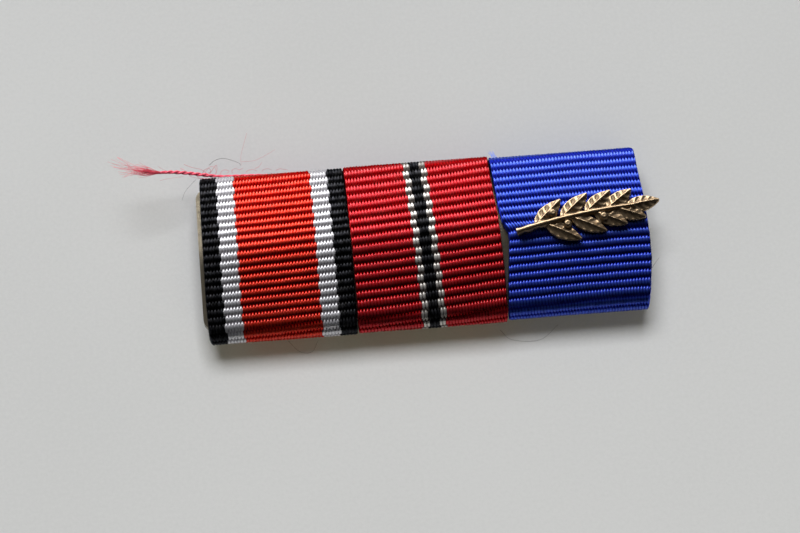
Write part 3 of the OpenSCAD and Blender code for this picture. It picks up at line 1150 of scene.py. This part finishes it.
    def colour(self, mesh: bpy.types.Mesh, rib: np.ndarray, along: np.ndarray, across: np.ndarray,
               ring_share: np.ndarray) -> None:
        """Gives each face of the cloth the yarn that lies on top there.

        Args:
            mesh: the cloth's mesh.
            rib: number of the rib of each row.
            along: place in the rib of each row.
            across: places of the face's columns, in yarns.
            ring_share: places of the whole ring's columns across the ribbon, from 0 to 1.
        """
        after = np.where(along[1:] > along[:-1], along[1:], 1.0)
        middle = (along[:-1] + after) / 2
        ring_middle = (ring_share + np.roll(ring_share, -1)) / 2 * self.yarns
        yarn = np.repeat(ring_middle[None, :], len(rib) - 1, 0)
        face_middle = (across[1:] + across[:-1]) / 2
        yarn[:, :len(across) - 1] = self.weave(rib[:-1, None], middle[:, None], face_middle[None, :])[1]
        for stripe in self.stripes:
            mesh.materials.append(stripe.thread.value.material())
        ends = [0, 0]
        numbers = np.r_[self.stripe_at(yarn).ravel(), ends].astype(np.int32)
        mesh.polygons.foreach_set("material_index", numbers)
        smooth = np.ones(len(numbers), bool)
        smooth[-len(ends):] = False
        mesh.polygons.foreach_set("use_smooth", smooth)

    def dress(self, item: bpy.types.Object) -> None:
        """Puts the woven ribbon in the place of its plain solid."""
        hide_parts(self.node)
        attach(item, ROOT)
        self.flat_size


LEFT_RIBBON = WovenRibbon(
    node="ribbon_left", place=-1, yarns=46, pitch=0.83, slack=0.3,
    stripes=(
        Stripe(5.25, Thread.BLACK), Stripe(10.75, Thread.WHITE), Stripe(35.25, Thread.ORANGE_RED),
        Stripe(40.75, Thread.WHITE), Stripe(46, Thread.BLACK),
    ),
    rib_slopes=(0.031, 0.0415, 0.052),
    left_edge=((-1, 0.02), (-0.9, 0.004), (-0.55, -0.002), (0, 0), (0.45, 0), (0.8, 0.004), (1, 0.008)),
    right_edge=((-1, 0), (0, 0), (0.5, -0.006), (1, -0.018)),
    bead_lean=-0.1, top_roll=0.24, seed=11,
)
MIDDLE_RIBBON = WovenRibbon(
    node="ribbon_middle", place=0, yarns=47, pitch=0.96, slack=0.25,
    stripes=(
        Stripe(19.25, Thread.CRIMSON), Stripe(21.25, Thread.CREAM), Stripe(24.75, Thread.BLACK),
        Stripe(26.75, Thread.CREAM), Stripe(47, Thread.CRIMSON),
    ),
    rib_slopes=(0.059, 0.078, 0.097),
    left_edge=((-1, 0), (0, 0), (0.5, -0.008), (1, -0.022)),
    right_edge=(
        (-1, 0.004), (-0.77, 0.0105), (-0.37, 0.0126), (-0.07, 0.008),
        (0.18, 0.0026), (0.48, -0.013), (0.8, -0.025), (1, -0.027),
    ),
    middle_drift=((-1, 0.023), (1, -0.014)),
    bead_lean=0.14, seed=22,
)
RIGHT_RIBBON = WovenRibbon(
    node="ribbon_right", place=1, yarns=46, pitch=0.88, slack=0.05,
    stripes=(Stripe(46, Thread.BLUE),),
    rib_slopes=(0.024, 0.026, -0.018),
    left_edge=(
        (-1, 0.006), (-0.7, 0.016), (-0.45, 0.033), (-0.1, 0.056), (-0.02, 0.054),
        (0.12, 0.02), (0.3, 0.004), (0.55, -0.01), (0.9, -0.029), (1, -0.031),
    ),
    right_edge=(
        (-1, -0.05), (-0.8, -0.026), (-0.45, 0.002), (-0.18, 0.006),
        (0.33, -0.006), (0.64, -0.024), (1, -0.036),
    ),
    corner_r=1.0, bead_lean=0.2, seed=33,
)


# Leaf sprig.


@dataclass(frozen=True)
class Leaf:
    """A leaf on the sprig: its place and length as shares of the sprig, its side and its angle."""

    place: float
    side: int
    length: float
    angle: float


@dataclass
class LeafSprig:
    """A small cast sprig with nine leaves and three berries, on two posts, in millimetres."""

    length: float = 15.2
    turn: float = math.radians(8)
    middle_y: float = 0.4
    bow: float = 0.5
    stem_r: float = 0.42
    leaf_w: float = 1.75
    leaf_t: float = 0.4
    leaf_rise: float = 0.4
    leaf_tip_r: float = 0.12
    berry_r: float = 0.46
    post_r: float = 0.4
    voxel: float = 0.05
    leaves: tuple[Leaf, ...] = (
        Leaf(0.13, 1, 0.27, 36), Leaf(0.2, -1, 0.28, 37), Leaf(0.31, 1, 0.27, 34), Leaf(0.38, -1, 0.27, 35),
        Leaf(0.48, 1, 0.25, 32), Leaf(0.54, -1, 0.25, 33), Leaf(0.63, 1, 0.23, 29), Leaf(0.69, -1, 0.22, 30),
        Leaf(0.76, 0, 0.24, 0),
    )
    berries: tuple[tuple[float, int], ...] = ((0.27, 1), (0.35, -1), (0.6, -1))
    posts: tuple[float, ...] = (0.28, 0.68)
    form: BarForm = field(default_factory=BarForm)

    # A leaf's relief: lengths in millimetres, the rest as shares of its rise.
    LEAF_GRID = (60, 25)
    LEAF_ENDS = (0.03, 0.98)
    OUTLINE_POWERS = (0.85, 0.8)
    TIP_RISE = 0.35
    MIDRIB_RISE = 0.62
    MIDRIB_W = 0.2
    MIDRIB_POWER = 1.5
    BLADE_RISE = 0.35
    RIM_RISE = 0.16
    RIM_W = 0.12
    BLADE_SINK = 0.12
    EDGE_SINK = 0.14
    VEINS = 5.0
    VEIN_DEPTH = 0.07
    VEIN_SWEEP = 0.75

    STEM_GRID = (80, 15)
    STEM_END = 0.82
    STEM_RISE = 0.9
    STEM_TAPERS = (0.45, 0.15)
    STEM_ROUND = 0.7
    STEM_FOOT = 0.05
    KNOTS = 11
    KNOT_SWELL = 0.12

    BERRY_GRID = (14, 20)
    BERRY_SEAT = 0.8
    DIMPLE = 0.22
    DIMPLE_W = 0.35
    POST_SIDES = 32

    SMOOTHINGS = 3
    WIDE_ROUNDS = 6
    WEAR_ROUNDS = 2
    HOLLOW_GAIN = 1.6
    RIDGE_GAIN = 1.3
    FOOT_DARKENING = 0.35
    FOOT_HIGH = 0.45

    def stem(self, share: float) -> np.ndarray:
        """Place of a share of the way along the stem, before the sprig is turned."""
        return np.array([self.length * (share - 0.5), self.bow * 4 * share * (1 - share)])

    def leaf_shape(self, share: np.ndarray) -> np.ndarray:
        """Width of a leaf at a share of its length, as a share of its widest."""
        sweep, round_off = self.OUTLINE_POWERS
        return np.clip(np.sin(math.pi * np.clip(share, 0, 1) ** sweep), 0, 1) ** round_off

    def leaf_top(self, share: np.ndarray, aside: np.ndarray, width: np.ndarray) -> np.ndarray:
        """Shapes a leaf's face with its midrib, curved side veins and raised rim.

        Args:
            share: share of the leaf's length, at each place of its grid.
            aside: distance from the midrib as a share of the leaf's half width.
            width: the leaf's half width there.

        Returns:
            Heights over the sprig's back.
        """
        full = self.leaf_shape(share)
        rise = self.leaf_rise * (self.TIP_RISE + (1 - self.TIP_RISE) * full)
        midrib = self.MIDRIB_RISE * np.exp(-((aside * width / self.MIDRIB_W) ** self.MIDRIB_POWER))
        blade = self.BLADE_RISE * (1 - aside**2)
        rim = self.RIM_RISE * np.exp(-(((1 - aside) * width / self.RIM_W) ** 2))
        veins = np.cos(math.tau * (self.VEINS * share - self.VEIN_SWEEP * aside))
        veins = veins * np.clip(aside * 4 * (1 - aside), 0, 1) * full
        top = self.leaf_t - self.BLADE_SINK + rise * (midrib + blade + rim) + self.VEIN_DEPTH * veins
        top[:, [0, -1]] = self.leaf_t - self.EDGE_SINK
        return top

    def add_leaf(self, stack: Stack, leaf: Leaf) -> None:
        """Adds a pointed leaf that leans out from the stem.

        Args:
            stack: the shapes of the sprig.
            leaf: the leaf's place, size and angle.
        """
        rows, columns = self.LEAF_GRID
        share, across = np.meshgrid(
            np.linspace(*self.LEAF_ENDS, rows), np.linspace(-1, 1, columns), indexing="ij",
        )
        width = np.maximum(self.leaf_tip_r, self.leaf_w / 2 * self.leaf_shape(share))
        top = self.leaf_top(share, np.abs(across), width)
        angle = math.radians(leaf.side * leaf.angle)
        along, aside = share * leaf.length * self.length, across * width
        at = self.stem(leaf.place)
        x = at[0] + along * math.cos(angle) - aside * math.sin(angle)
        y = at[1] + along * math.sin(angle) + aside * math.cos(angle)
        face, back = (np.stack([x, y, z], -1).reshape(-1, 3) for z in (top, 0 * top))
        stack.slab(face, back, rows, columns)

    def add_stem(self, stack: Stack) -> None:
        """Adds the stem, flat behind and round in front, thinner towards its tip.

        Args:
            stack: the shapes of the sprig.
        """
        rows, columns = self.STEM_GRID
        narrow, low = self.STEM_TAPERS
        step = 0.01
        face = []
        for share in np.linspace(0, self.STEM_END, rows):
            place = self.stem(share)
            ahead = self.stem(share + step) - self.stem(share - step)
            aside = unit(np.array([-ahead[1], ahead[0]]))
            knot = 1 + self.KNOT_SWELL * math.cos(math.tau * share * self.KNOTS)
            radius = self.stem_r * (1 - narrow * share) * knot
            top = (self.leaf_t + self.leaf_rise * self.STEM_RISE) * (1 - low * share)
            for turn in np.linspace(0, math.pi, columns):
                spot = place + aside * radius * math.cos(turn)
                face.append((*spot, max(top * math.sin(turn) ** self.STEM_ROUND, self.STEM_FOOT)))
        stack.slab(np.array(face), np.array(face) * (1, 1, 0), rows, columns)

    def add_berry(self, stack: Stack, share: float, side: int) -> None:
        """Adds a berry with a small dimple at its tip.

        Args:
            stack: the shapes of the sprig.
            share: its place as a share of the stem.
            side: 1 for the upper side of the stem, -1 for the lower.
        """
        rings, sides = self.BERRY_GRID
        centre = np.r_[self.stem(share), self.berry_r]
        centre[1] += side * (self.stem_r + self.berry_r * self.BERRY_SEAT)
        tilt, turn = np.meshgrid(
            np.linspace(0, math.pi, rings), np.linspace(0, math.tau, sides, endpoint=False), indexing="ij",
        )
        size = self.berry_r * (1 - self.DIMPLE * np.exp(-((tilt / self.DIMPLE_W) ** 2)))
        ways = np.stack([np.sin(tilt) * np.cos(turn), np.sin(tilt) * np.sin(turn), np.cos(tilt)], 2)
        skin = centre + size[:, :, None] * ways
        points = np.vstack([skin[1:-1].reshape(-1, 3), skin[0, :1], skin[-1, :1]])
        top, low = len(points) - 2, len(points) - 1
        last = (rings - 3) * sides
        faces = [face[::-1] for face in faces_between(rings - 2, sides)]
        faces += [(top, k, (k + 1) % sides) for k in range(sides)]
        faces += [(low, last + (k + 1) % sides, last + k) for k in range(sides)]
        stack.add(points, faces)

    def add_post(self, stack: Stack, share: float, low: float) -> None:
        """Adds a round post under the stem.

        Args:
            stack: the shapes of the sprig.
            share: its place as a share of the stem.
            low: height of its lower end over the sprig's back.
        """
        sides = self.POST_SIDES
        turns = np.linspace(0, math.tau, sides, endpoint=False)
        ring = self.stem(share) + self.post_r * np.stack([np.cos(turns), np.sin(turns)], 1)
        points = np.vstack([np.c_[ring, np.full(sides, high)] for high in (low, self.leaf_t)])
        stack.add(points, closed_faces(2, sides))

    def build(self) -> bpy.types.Object:
        """Casts the sprig in one piece, and returns its object."""
        low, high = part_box("leaf_sprig")
        form = self.form
        base_z = form.ridge_z + form.inner_r + form.ribbon_t + form.rib_rise + form.fit
        stack = Stack()
        for leaf in self.leaves:
            self.add_leaf(stack, leaf)
        self.add_stem(stack)
        for share, side in self.berries:
            self.add_berry(stack, share, side)
        for share in self.posts:
            self.add_post(stack, share, low.z / MM - base_z)
        mesh = self.cast(stack)
        points = read_points(mesh, "co").astype(float)
        for _ in range(self.SMOOTHINGS):
            points = (points + self.neighbours(mesh, points)) / 2
        hollow, rubbed_and_highlit = self.wear(mesh, points)
        cos, sin = math.cos(self.turn), math.sin(self.turn)
        x = points[:, 0] * cos - points[:, 1] * sin
        y = points[:, 0] * sin + points[:, 1] * cos
        x = x - x.max() + high.x / MM
        set_places(mesh, np.stack([x, y + self.middle_y, points[:, 2] + base_z], 1) * MM)
        store_marks(mesh, "hollow", hollow)
        store_marks(mesh, "rubbed_and_highlit", rubbed_and_highlit)
        mesh.materials.clear()
        mesh.materials.append(BRONZE.material())
        mesh.shade_smooth()
        return add_object("leaf_sprig_cast", mesh)

    def cast(self, stack: Stack) -> bpy.types.Mesh:
        """Melts the sprig's shapes into one closed skin.

        Args:
            stack: the shapes of the sprig.

        Returns:
            The skin's mesh, still in millimetres.
        """
        mesh = make_mesh("sprig_parts", np.vstack(stack.points), stack.faces)
        item = add_object("sprig_parts", mesh)
        skin = item.modifiers.new("skin", "REMESH")
        skin.mode = "VOXEL"
        skin.voxel_size = self.voxel
        shape = item.evaluated_get(bpy.context.evaluated_depsgraph_get())
        cast = bpy.data.meshes.new_from_object(shape)
        bpy.data.objects.remove(item)
        bpy.data.meshes.remove(mesh)
        return cast

    @staticmethod
    def neighbours(mesh: bpy.types.Mesh, values: np.ndarray) -> np.ndarray:
        """Averages values over each point's neighbours.

        Args:
            mesh: the mesh that tells which points are neighbours.
            values: a row for each point.

        Returns:
            The averages, a row for each point.
        """
        ends = np.zeros(len(mesh.edges) * 2, np.int32)
        mesh.edges.foreach_get("vertices", ends)
        a, b = ends.reshape(-1, 2).T
        flat = values.reshape(len(values), -1)
        total = np.zeros_like(flat)
        np.add.at(total, a, flat[b])
        np.add.at(total, b, flat[a])
        count = np.bincount(ends, minlength=len(values))[:, None]
        return (total / np.maximum(count, 1)).reshape(values.shape)

    def wear(self, mesh: bpy.types.Mesh, points: np.ndarray) -> tuple[np.ndarray, np.ndarray]:
        """Finds where patina stays in hollows, where the casting darkens towards its foot, and where the
        metal is rubbed bright with a painted edge highlight.

        Args:
            mesh: the casting's mesh.
            points: its smoothed places.

        Returns:
            How hollow the skin is, with the darkening towards its foot added, and how ridged, which marks
            rubbed edges with a painted highlight, at each point, from 0 to 1.
        """
        set_places(mesh, points)
        normals = read_points(mesh, "normal")
        wide = points
        for _ in range(self.WIDE_ROUNDS):
            wide = self.neighbours(mesh, wide)
        bend = ((wide - points) * normals).sum(1) / self.voxel
        for _ in range(self.WEAR_ROUNDS):
            bend = self.neighbours(mesh, bend)
        # Darker towards the casting's foot, by height over its back.
        foot = self.FOOT_DARKENING * np.clip(1 - points[:, 2] / self.FOOT_HIGH, 0, 1)
        return np.clip(bend * self.HOLLOW_GAIN + foot, 0, 1), np.clip(-bend * self.RIDGE_GAIN, 0, 1)

    def dress(self, item: bpy.types.Object) -> None:
        """Puts the casting in the place of its plain solid."""
        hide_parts("leaf_sprig")
        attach(item, ROOT)


# Plate and pin.


@dataclass(frozen=True)
class MetalNode:
    """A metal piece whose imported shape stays, with its edges eased and a worn finish."""

    node: str
    finish: MetalFinish
    edge_r: float = 0.05
    sharp: float = math.radians(40)

    def dress(self) -> bpy.types.Object:
        """Eases the piece's edges and gives it its finish, and returns its object."""
        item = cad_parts[self.node]
        if not item.material_slots:
            item.data.materials.append(self.finish.material())
        for slot in item.material_slots:
            slot.material = self.finish.material()
        bevel = item.modifiers.new("eased_edges", "BEVEL")
        bevel.width = self.edge_r * MM
        bevel.segments = 2
        bevel.limit_method = "ANGLE"
        bevel.angle_limit = self.sharp
        return item


# Loose threads.


@dataclass
class LooseThread:
    """A broken crimson thread of two twisted plies that ends in a fray, in millimetres."""

    route: tuple[Place, ...] = (
        (-9.2, 8.22, 2.18), (-10.68, 8.74, 2.55), (-12.2, 9.03, 2.86), (-13.8, 9.21, 3.15),
        (-15.56, 9.31, 3.43), (-17.64, 9.35, 3.67), (-19.3, 9.36, 3.82), (-21.27, 9.38, 3.98),
        (-22.7, 9.38, 4.5), (-24.01, 9.34, 5.2), (-25.61, 9.19, 6.1), (-26.52, 9.04, 6.6),
        (-27.33, 8.87, 7.0),
    )
    cone: tuple[Place, ...] = ((-28.13, 8.89, 7.3), (-28.93, 8.91, 7.6), (-29.53, 8.91, 7.8))
    cone_r: tuple[float, ...] = (0.16, 0.25, 0.33)
    far_tips: tuple[Place, ...] = (
        (-30.52, 9.36, 8.0), (-31.29, 10.4, 8.3), (-32.29, 9.79, 8.3),
        (-31.53, 9.47, 8.2), (-31.23, 8.65, 8.0), (-30.91, 8.29, 7.9),
    )
    far_share: float = 0.22
    ply_r: float = 0.12
    twist_pitch: float = 1.6
    fibre_r: float = 0.02
    fibres: int = 110
    seed: int = 5

    ROWS = 150
    PLY_SIDES = 8
    PLY_CLOSE = 0.7
    PLY_TAPER = ((0, 0.6, 0.7, 0.9, 1), (0.45, 0.5, 1, 1, 0.6))
    PLY_CHANCES = (0.4, 0.6)
    FIBRE_ROWS = 26
    FIBRE_SIDES = 4
    FIBRE_TAPER = 0.5
    FIBRE_STARTS = (6, 26)
    START_SPREAD = 0.05
    NECK_R = 0.06
    CONE_SPREAD = 0.06
    TIP_SPREAD = 0.22

    def add_plies(self, stack: Stack, core: np.ndarray) -> None:
        """Winds the thread's two plies round its middle line.

        Args:
            stack: the shapes of the thread.
            core: places of its middle line, a row each.
        """
        length = run_along(core)
        ahead = unit(np.gradient(core, axis=0))
        side = unit(np.cross(ahead, (0, 0, 1.0)))
        up = np.cross(side, ahead)
        taper = np.interp(length / length[-1], *self.PLY_TAPER)
        for ply, chance in enumerate(self.PLY_CHANCES):
            turn = (math.tau * length / self.twist_pitch + ply * math.pi)[:, None]
            wound = np.cos(turn) * side + np.sin(turn) * up
            spot = core + self.ply_r * self.PLY_CLOSE * taper[:, None] * wound
            stack.tube(spot, self.ply_r * taper, self.PLY_SIDES, chance)

    def add_fray(self, stack: Stack, core: np.ndarray) -> None:
        """Fans the thread's fibres out of its end, some of them far.

        Args:
            stack: the shapes of the thread.
            core: places of its middle line, a row each.
        """
        rng = np.random.default_rng(self.seed)
        radii = self.fibre_r * np.linspace(1, self.FIBRE_TAPER, self.FIBRE_ROWS)
        for number in range(self.fibres):
            begin = core[-1 - rng.integers(*self.FIBRE_STARTS)] + rng.normal(0, self.START_SPREAD, 3)
            fan = rng.normal(0, 1, 3)
            loose = rng.normal(0, self.CONE_SPREAD, (3, 3))
            cone = np.array(self.cone) + np.outer(self.cone_r, fan) + loose
            places = np.vstack([begin, core[-1] + self.NECK_R * fan, cone[:rng.integers(2, 4)]])
            if number < self.far_share * self.fibres:
                tip = np.array(self.far_tips[number % len(self.far_tips)])
                places = np.vstack([places, tip + rng.normal(0, self.TIP_SPREAD, 3)])
            stack.tube(even_path(places, self.FIBRE_ROWS), radii, self.FIBRE_SIDES, rng.uniform())

    def build(self) -> bpy.types.Object:
        """Lays the thread and its fray, and returns the object."""
        stack = Stack()
        core = even_path(self.route, self.ROWS)
        self.add_plies(stack, core)
        self.add_fray(stack, core)
        item = stack.build("loose_thread", LOOSE_SILK)
        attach(item, ROOT)
        return item


@dataclass(frozen=True)
class Strand:
    """One loose hair: the places it passes, and its radius, in millimetres."""

    places: tuple[Place, ...]
    radius: float = 0.018


@dataclass
class FibreTuft:
    """Loose hairs of one colour that cling to the bar."""

    name: str
    finish: ThreadFinish
    strands: tuple[Strand, ...]

    ROWS_A_PLACE = 10
    SIDES = 5
    TAPER = 0.7
    CHANCE_STEP = 0.37

    def build(self) -> bpy.types.Object:
        """Lays the hairs, and returns their object."""
        stack = Stack()
        for number, strand in enumerate(self.strands):
            line = even_path(strand.places, self.ROWS_A_PLACE * len(strand.places))
            radii = strand.radius * np.linspace(1, self.TAPER, len(line))
            stack.tube(line, radii, self.SIDES, number * self.CHANCE_STEP % 1)
        item = stack.build(self.name, self.finish)
        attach(item, ROOT)
        return item


@dataclass(frozen=True)
class HairFan:
    """A small fan of hairs that stands out of the right ribbon's edge, in millimetres."""

    hairs: int = 7
    places: tuple[Place, ...] = ((7.2, 9.1, 3.9), (7.1, 9.6, 3.6), (6.9, 10.0, 3.2))
    spacings: tuple[float, ...] = (0.09, 0.07, 0.1)
    longer: float = 0.12
    radius: float = 0.02

    def strand(self, number: int) -> Strand:
        """Describes one hair of the fan."""
        places = np.array(self.places)
        places[:, 0] += np.array(self.spacings) * number
        places[-1, 1] += self.longer * (number % 3)
        return Strand(tuple(map(tuple, places)), self.radius)

    def strands(self) -> tuple[Strand, ...]:
        """Describes all hairs of the fan."""
        return tuple(self.strand(number) for number in range(self.hairs))


TUFTS = (
    FibreTuft("dark_hairs", DARK_FIBRE, (
        Strand(((-22.08, 10.61, 4.2), (-21.46, 10.89, 4.6), (-20.64, 10.97, 4.8), (-19.73, 10.67, 4.8),
                (-18.96, 10.36, 4.6), (-18.87, 10.19, 4.4)), 0.022),
        Strand(((-23.57, 8.95, 4.4), (-23.91, 8.93, 3.8), (-24.46, 8.96, 2.6), (-24.94, 9.03, 1.2),
                (-25.26, 8.71, 0.2)), 0.014),
        Strand(((22.62, -3.83, 2.0), (23.11, -3.19, 2.0), (23.47, -2.77, 2.0)), 0.016),
        Strand(((6.44, -9.0, 1.0), (7.61, -9.88, 0.2), (10.48, -10.08, 0.1), (12.43, -8.86, 0.8)), 0.014),
        Strand(((-15.32, -8.6, 1.5), (-14.18, -9.43, 0.3), (-12.95, -9.49, 0.2), (-12.26, -8.74, 1.2)),
               0.014),
    )),
    FibreTuft("crimson_loops", CRIMSON_FIBRE, (
        Strand(((-18.03, 15.5, 1.0), (-18.44, 13.56, 2.2), (-18.79, 11.54, 3.6), (-18.76, 10.19, 4.5)),
               0.012),
        Strand(((-18.71, 10.61, 4.4), (-17.85, 10.69, 4.2), (-17.1, 10.91, 4.0), (-16.16, 11.64, 3.4),
                (-15.19, 12.48, 2.8)), 0.012),
        Strand(((-17.39, 9.58, 4.7), (-16.96, 9.73, 4.8), (-16.65, 10.17, 4.8)), 0.014),
        Strand(((-24.69, 10.52, 5.0), (-23.87, 10.1, 5.0), (-23.0, 9.81, 5.0), (-22.37, 9.29, 5.0))),
        Strand(((-25.04, 9.8, 5.6), (-24.59, 9.44, 5.8), (-24.12, 8.96, 5.4), (-23.43, 8.84, 5.0),
                (-22.72, 8.78, 4.9))),
        Strand(((-22.54, 9.22, 4.9), (-22.45, 9.63, 4.9), (-22.01, 10.02, 5.0), (-21.55, 9.96, 5.0),
                (-21.42, 9.49, 5.0), (-21.51, 9.15, 4.9))),
        Strand(((-22.89, 9.32, 4.9), (-22.54, 9.76, 5.0), (-22.07, 9.75, 5.1), (-21.99, 9.38, 5.1),
                (-22.42, 9.29, 5.0), (-22.59, 9.18, 4.9)), 0.022),
        Strand(((-22.28, 9.1, 4.9), (-21.88, 9.53, 5.0), (-21.38, 10.1, 5.1), (-21.3, 9.71, 5.0),
                (-21.43, 9.2, 4.9)), 0.022),
        Strand(((-20.99, 9.12, 4.9), (-20.86, 9.41, 5.0), (-20.48, 9.55, 5.0), (-20.08, 9.41, 4.9),
                (-20.31, 9.17, 4.9))),
        Strand(((-19.75, 9.2, 4.8), (-19.77, 9.46, 4.9), (-19.39, 9.6, 5.0), (-18.99, 9.47, 4.9),
                (-18.62, 9.7, 4.8))),
        Strand(((-18.35, 9.2, 4.8), (-18.07, 9.39, 4.8), (-17.6, 9.45, 4.8), (-17.2, 9.28, 4.7))),
        Strand(((-16.69, 9.22, 4.7), (-16.46, 9.35, 4.8), (-15.99, 9.38, 4.8), (-15.65, 9.28, 4.6))),
        Strand(((-15.24, 9.22, 4.6), (-14.86, 9.32, 4.7), (-14.4, 9.24, 4.7), (-14.0, 9.22, 4.5))),
        Strand(((-23.41, 8.94, 5.2), (-23.12, 8.82, 5.0), (-22.52, 8.72, 5.0), (-21.89, 8.72, 5.0))),
        Strand(((-27.28, 9.47, 7.2), (-26.78, 9.04, 7.3), (-26.29, 8.82, 7.2)), 0.012),
        Strand(((-27.2, 8.24, 6.4), (-26.36, 8.32, 6.5), (-25.54, 8.44, 6.4), (-24.71, 8.58, 6.2)), 0.012),
    )),
    FibreTuft("blue_tuft", BLUE_FIBRE, HairFan().strands()),
)


# Studio.


@dataclass(frozen=True)
class SoftLight:
    """A broad soft light round the bar, in millimetres and degrees."""

    name: str
    aside: float
    high: float
    size: tuple[float, float]
    power: float
    tint: tuple[float, float, float] = (1.0, 1.0, 1.0)
    far: float = 1000.0

    def hang(self, lit: Sequence[bpy.types.Object]) -> None:
        """Hangs the light, aimed at the bar.

        Args:
            lit: the objects that it lights.
        """
        light = bpy.data.lights.new(self.name, "AREA")
        light.shape = "RECTANGLE"
        light.size, light.size_y = (side * MM for side in self.size)
        light.energy = self.power
        light.color = self.tint
        item = add_object(self.name, light)
        aside, high = math.radians(self.aside), math.radians(self.high)
        way = Vector((math.sin(aside) * math.cos(high), math.cos(aside) * math.cos(high), math.sin(high)))
        item.location = way * self.far * MM
        point_along(item, -way)
        receivers = bpy.data.collections.new("lit_by_" + self.name)
        for piece in lit:
            receivers.objects.link(piece)
        item.light_linking.receiver_collection = receivers


def point_along(item: bpy.types.Object, way: Vector, roll: float = 0.0) -> None:
    """Points a light or a camera along a direction.

    Args:
        item: the light or camera.
        way: the direction.
        roll: turn about it, in radians.
    """
    item.rotation_mode = "QUATERNION"
    item.rotation_quaternion = way.to_track_quat("-Z", "Y") @ Quaternion((0, 0, 1), roll)


@dataclass(frozen=True)
class Studio:
    """Plain pale floor, soft light from behind the bar's top edge, and the camera, in millimetres."""

    eye: Place = (-13.27, -152.69, 350.12)
    target: Place = (-3.361, -3.279, 6.04)
    roll: float = math.radians(-0.911)
    lens: float = 165.74
    sensor: float = 36.0
    sharp_from: float = 10.0
    sharp_to: float = 10000.0
    floor_half: float = 900.0
    bar_light: SoftLight = SoftLight("bar_light", -12, 30, (900, 700), 13.5)
    floor_light: SoftLight = SoftLight("floor_light", -12, 76, (600, 520), 7.8, (0.985, 1.0, 1.045))
    floor_fill: SoftLight = SoftLight("floor_fill", 172, 42, (900, 700), 1.9, (1.0, 0.94, 0.66))
    room_tint: Colour = (0.93, 0.96, 1.0, 1.0)
    room_light: tuple[float, float] = (0.01, 0.13)
    room_reach: float = 0.6

    def add_camera(self) -> None:
        """Places the camera at the angle that the bar is seen from."""
        camera = bpy.data.cameras.new("camera")
        camera.lens = self.lens
        camera.sensor_width = self.sensor
        camera.clip_start = self.sharp_from * MM
        camera.clip_end = self.sharp_to * MM
        item = add_object("camera", camera)
        item.location = Vector(self.eye) * MM
        point_along(item, Vector(self.target) - Vector(self.eye), self.roll)
        bpy.context.scene.camera = item

    def add_floor(self) -> bpy.types.Object:
        """Lays a plain pale floor with a faint grain under the bar, and returns it."""
        corners = np.array([(-1, -1, 0), (1, -1, 0), (1, 1, 0), (-1, 1, 0)]) * self.floor_half * MM
        mesh = make_mesh("floor", corners, [(0, 1, 2, 3)])
        mesh.materials.append(PALE_BOARD.material())
        floor = add_object("floor", mesh)
        floor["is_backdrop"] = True
        return floor

    def add_lights(self, floor: bpy.types.Object, strands: Sequence[bpy.types.Object]) -> None:
        """Hangs the lights.

        Args:
            floor: the floor, lit from above and from the front.
            strands: the loose strands, lit low from behind as the bar is, and from above.
        """
        self.bar_light.hang(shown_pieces())
        self.floor_light.hang([floor, *strands])
        self.floor_fill.hang([floor])

    def add_room(self) -> None:
        """Fills the room with a faint pale light that is stronger beyond the bar's top edge."""
        world = bpy.data.worlds.new("room")
        world.use_nodes = True
        sky = world.node_tree.nodes["Background"]
        sky.inputs["Color"].default_value = self.room_tint
        desk = NodeDesk(world.node_tree)
        way = desk.add("ShaderNodeSeparateXYZ", {0: desk.add("ShaderNodeTexCoord").outputs["Generated"]})
        light = desk.ramp(way.outputs[1], -self.room_reach, self.room_reach, *self.room_light)
        desk.tree.links.new(light, sky.inputs["Strength"])
        bpy.context.scene.world = world
        bpy.context.scene.view_settings.view_transform = "Standard"

    def build(self, strands: Sequence[bpy.types.Object]) -> None:
        """Sets up floor, lights and camera round the finished bar and its loose strands."""
        self.add_lights(self.add_floor(), strands)
        self.add_room()
        self.add_camera()


def triangles(item: bpy.types.Object) -> int:
    """Counts a piece's triangles."""
    item.data.calc_loop_triangles()
    return len(item.data.loop_triangles)


def main() -> None:
    """Builds each piece of the bar from the plate outwards, then the studio round it."""
    logging.basicConfig(level=logging.INFO, format="%(message)s")
    for part in (MetalNode("back_plate", KHAKI_STEEL), MetalNode("pin_back", PIN_STEEL)):
        part.dress()
        log.info("%s: eased and finished", part.node)
    for ribbon in (LEFT_RIBBON, MIDDLE_RIBBON, RIGHT_RIBBON):
        item = ribbon.build()
        ribbon.dress(item)
        log.info("%s: %d ribs, %d triangles", item.name, ribbon.ribs, triangles(item))
    sprig = LeafSprig()
    casting = sprig.build()
    sprig.dress(casting)
    log.info("%s: %d triangles", casting.name, triangles(casting))
    strands = [loose.build() for loose in (LooseThread(), *TUFTS)]
    for item in strands:
        log.info("%s: %d triangles", item.name, triangles(item))
    Studio().build(strands)


if __name__ == "__main__":
    main()
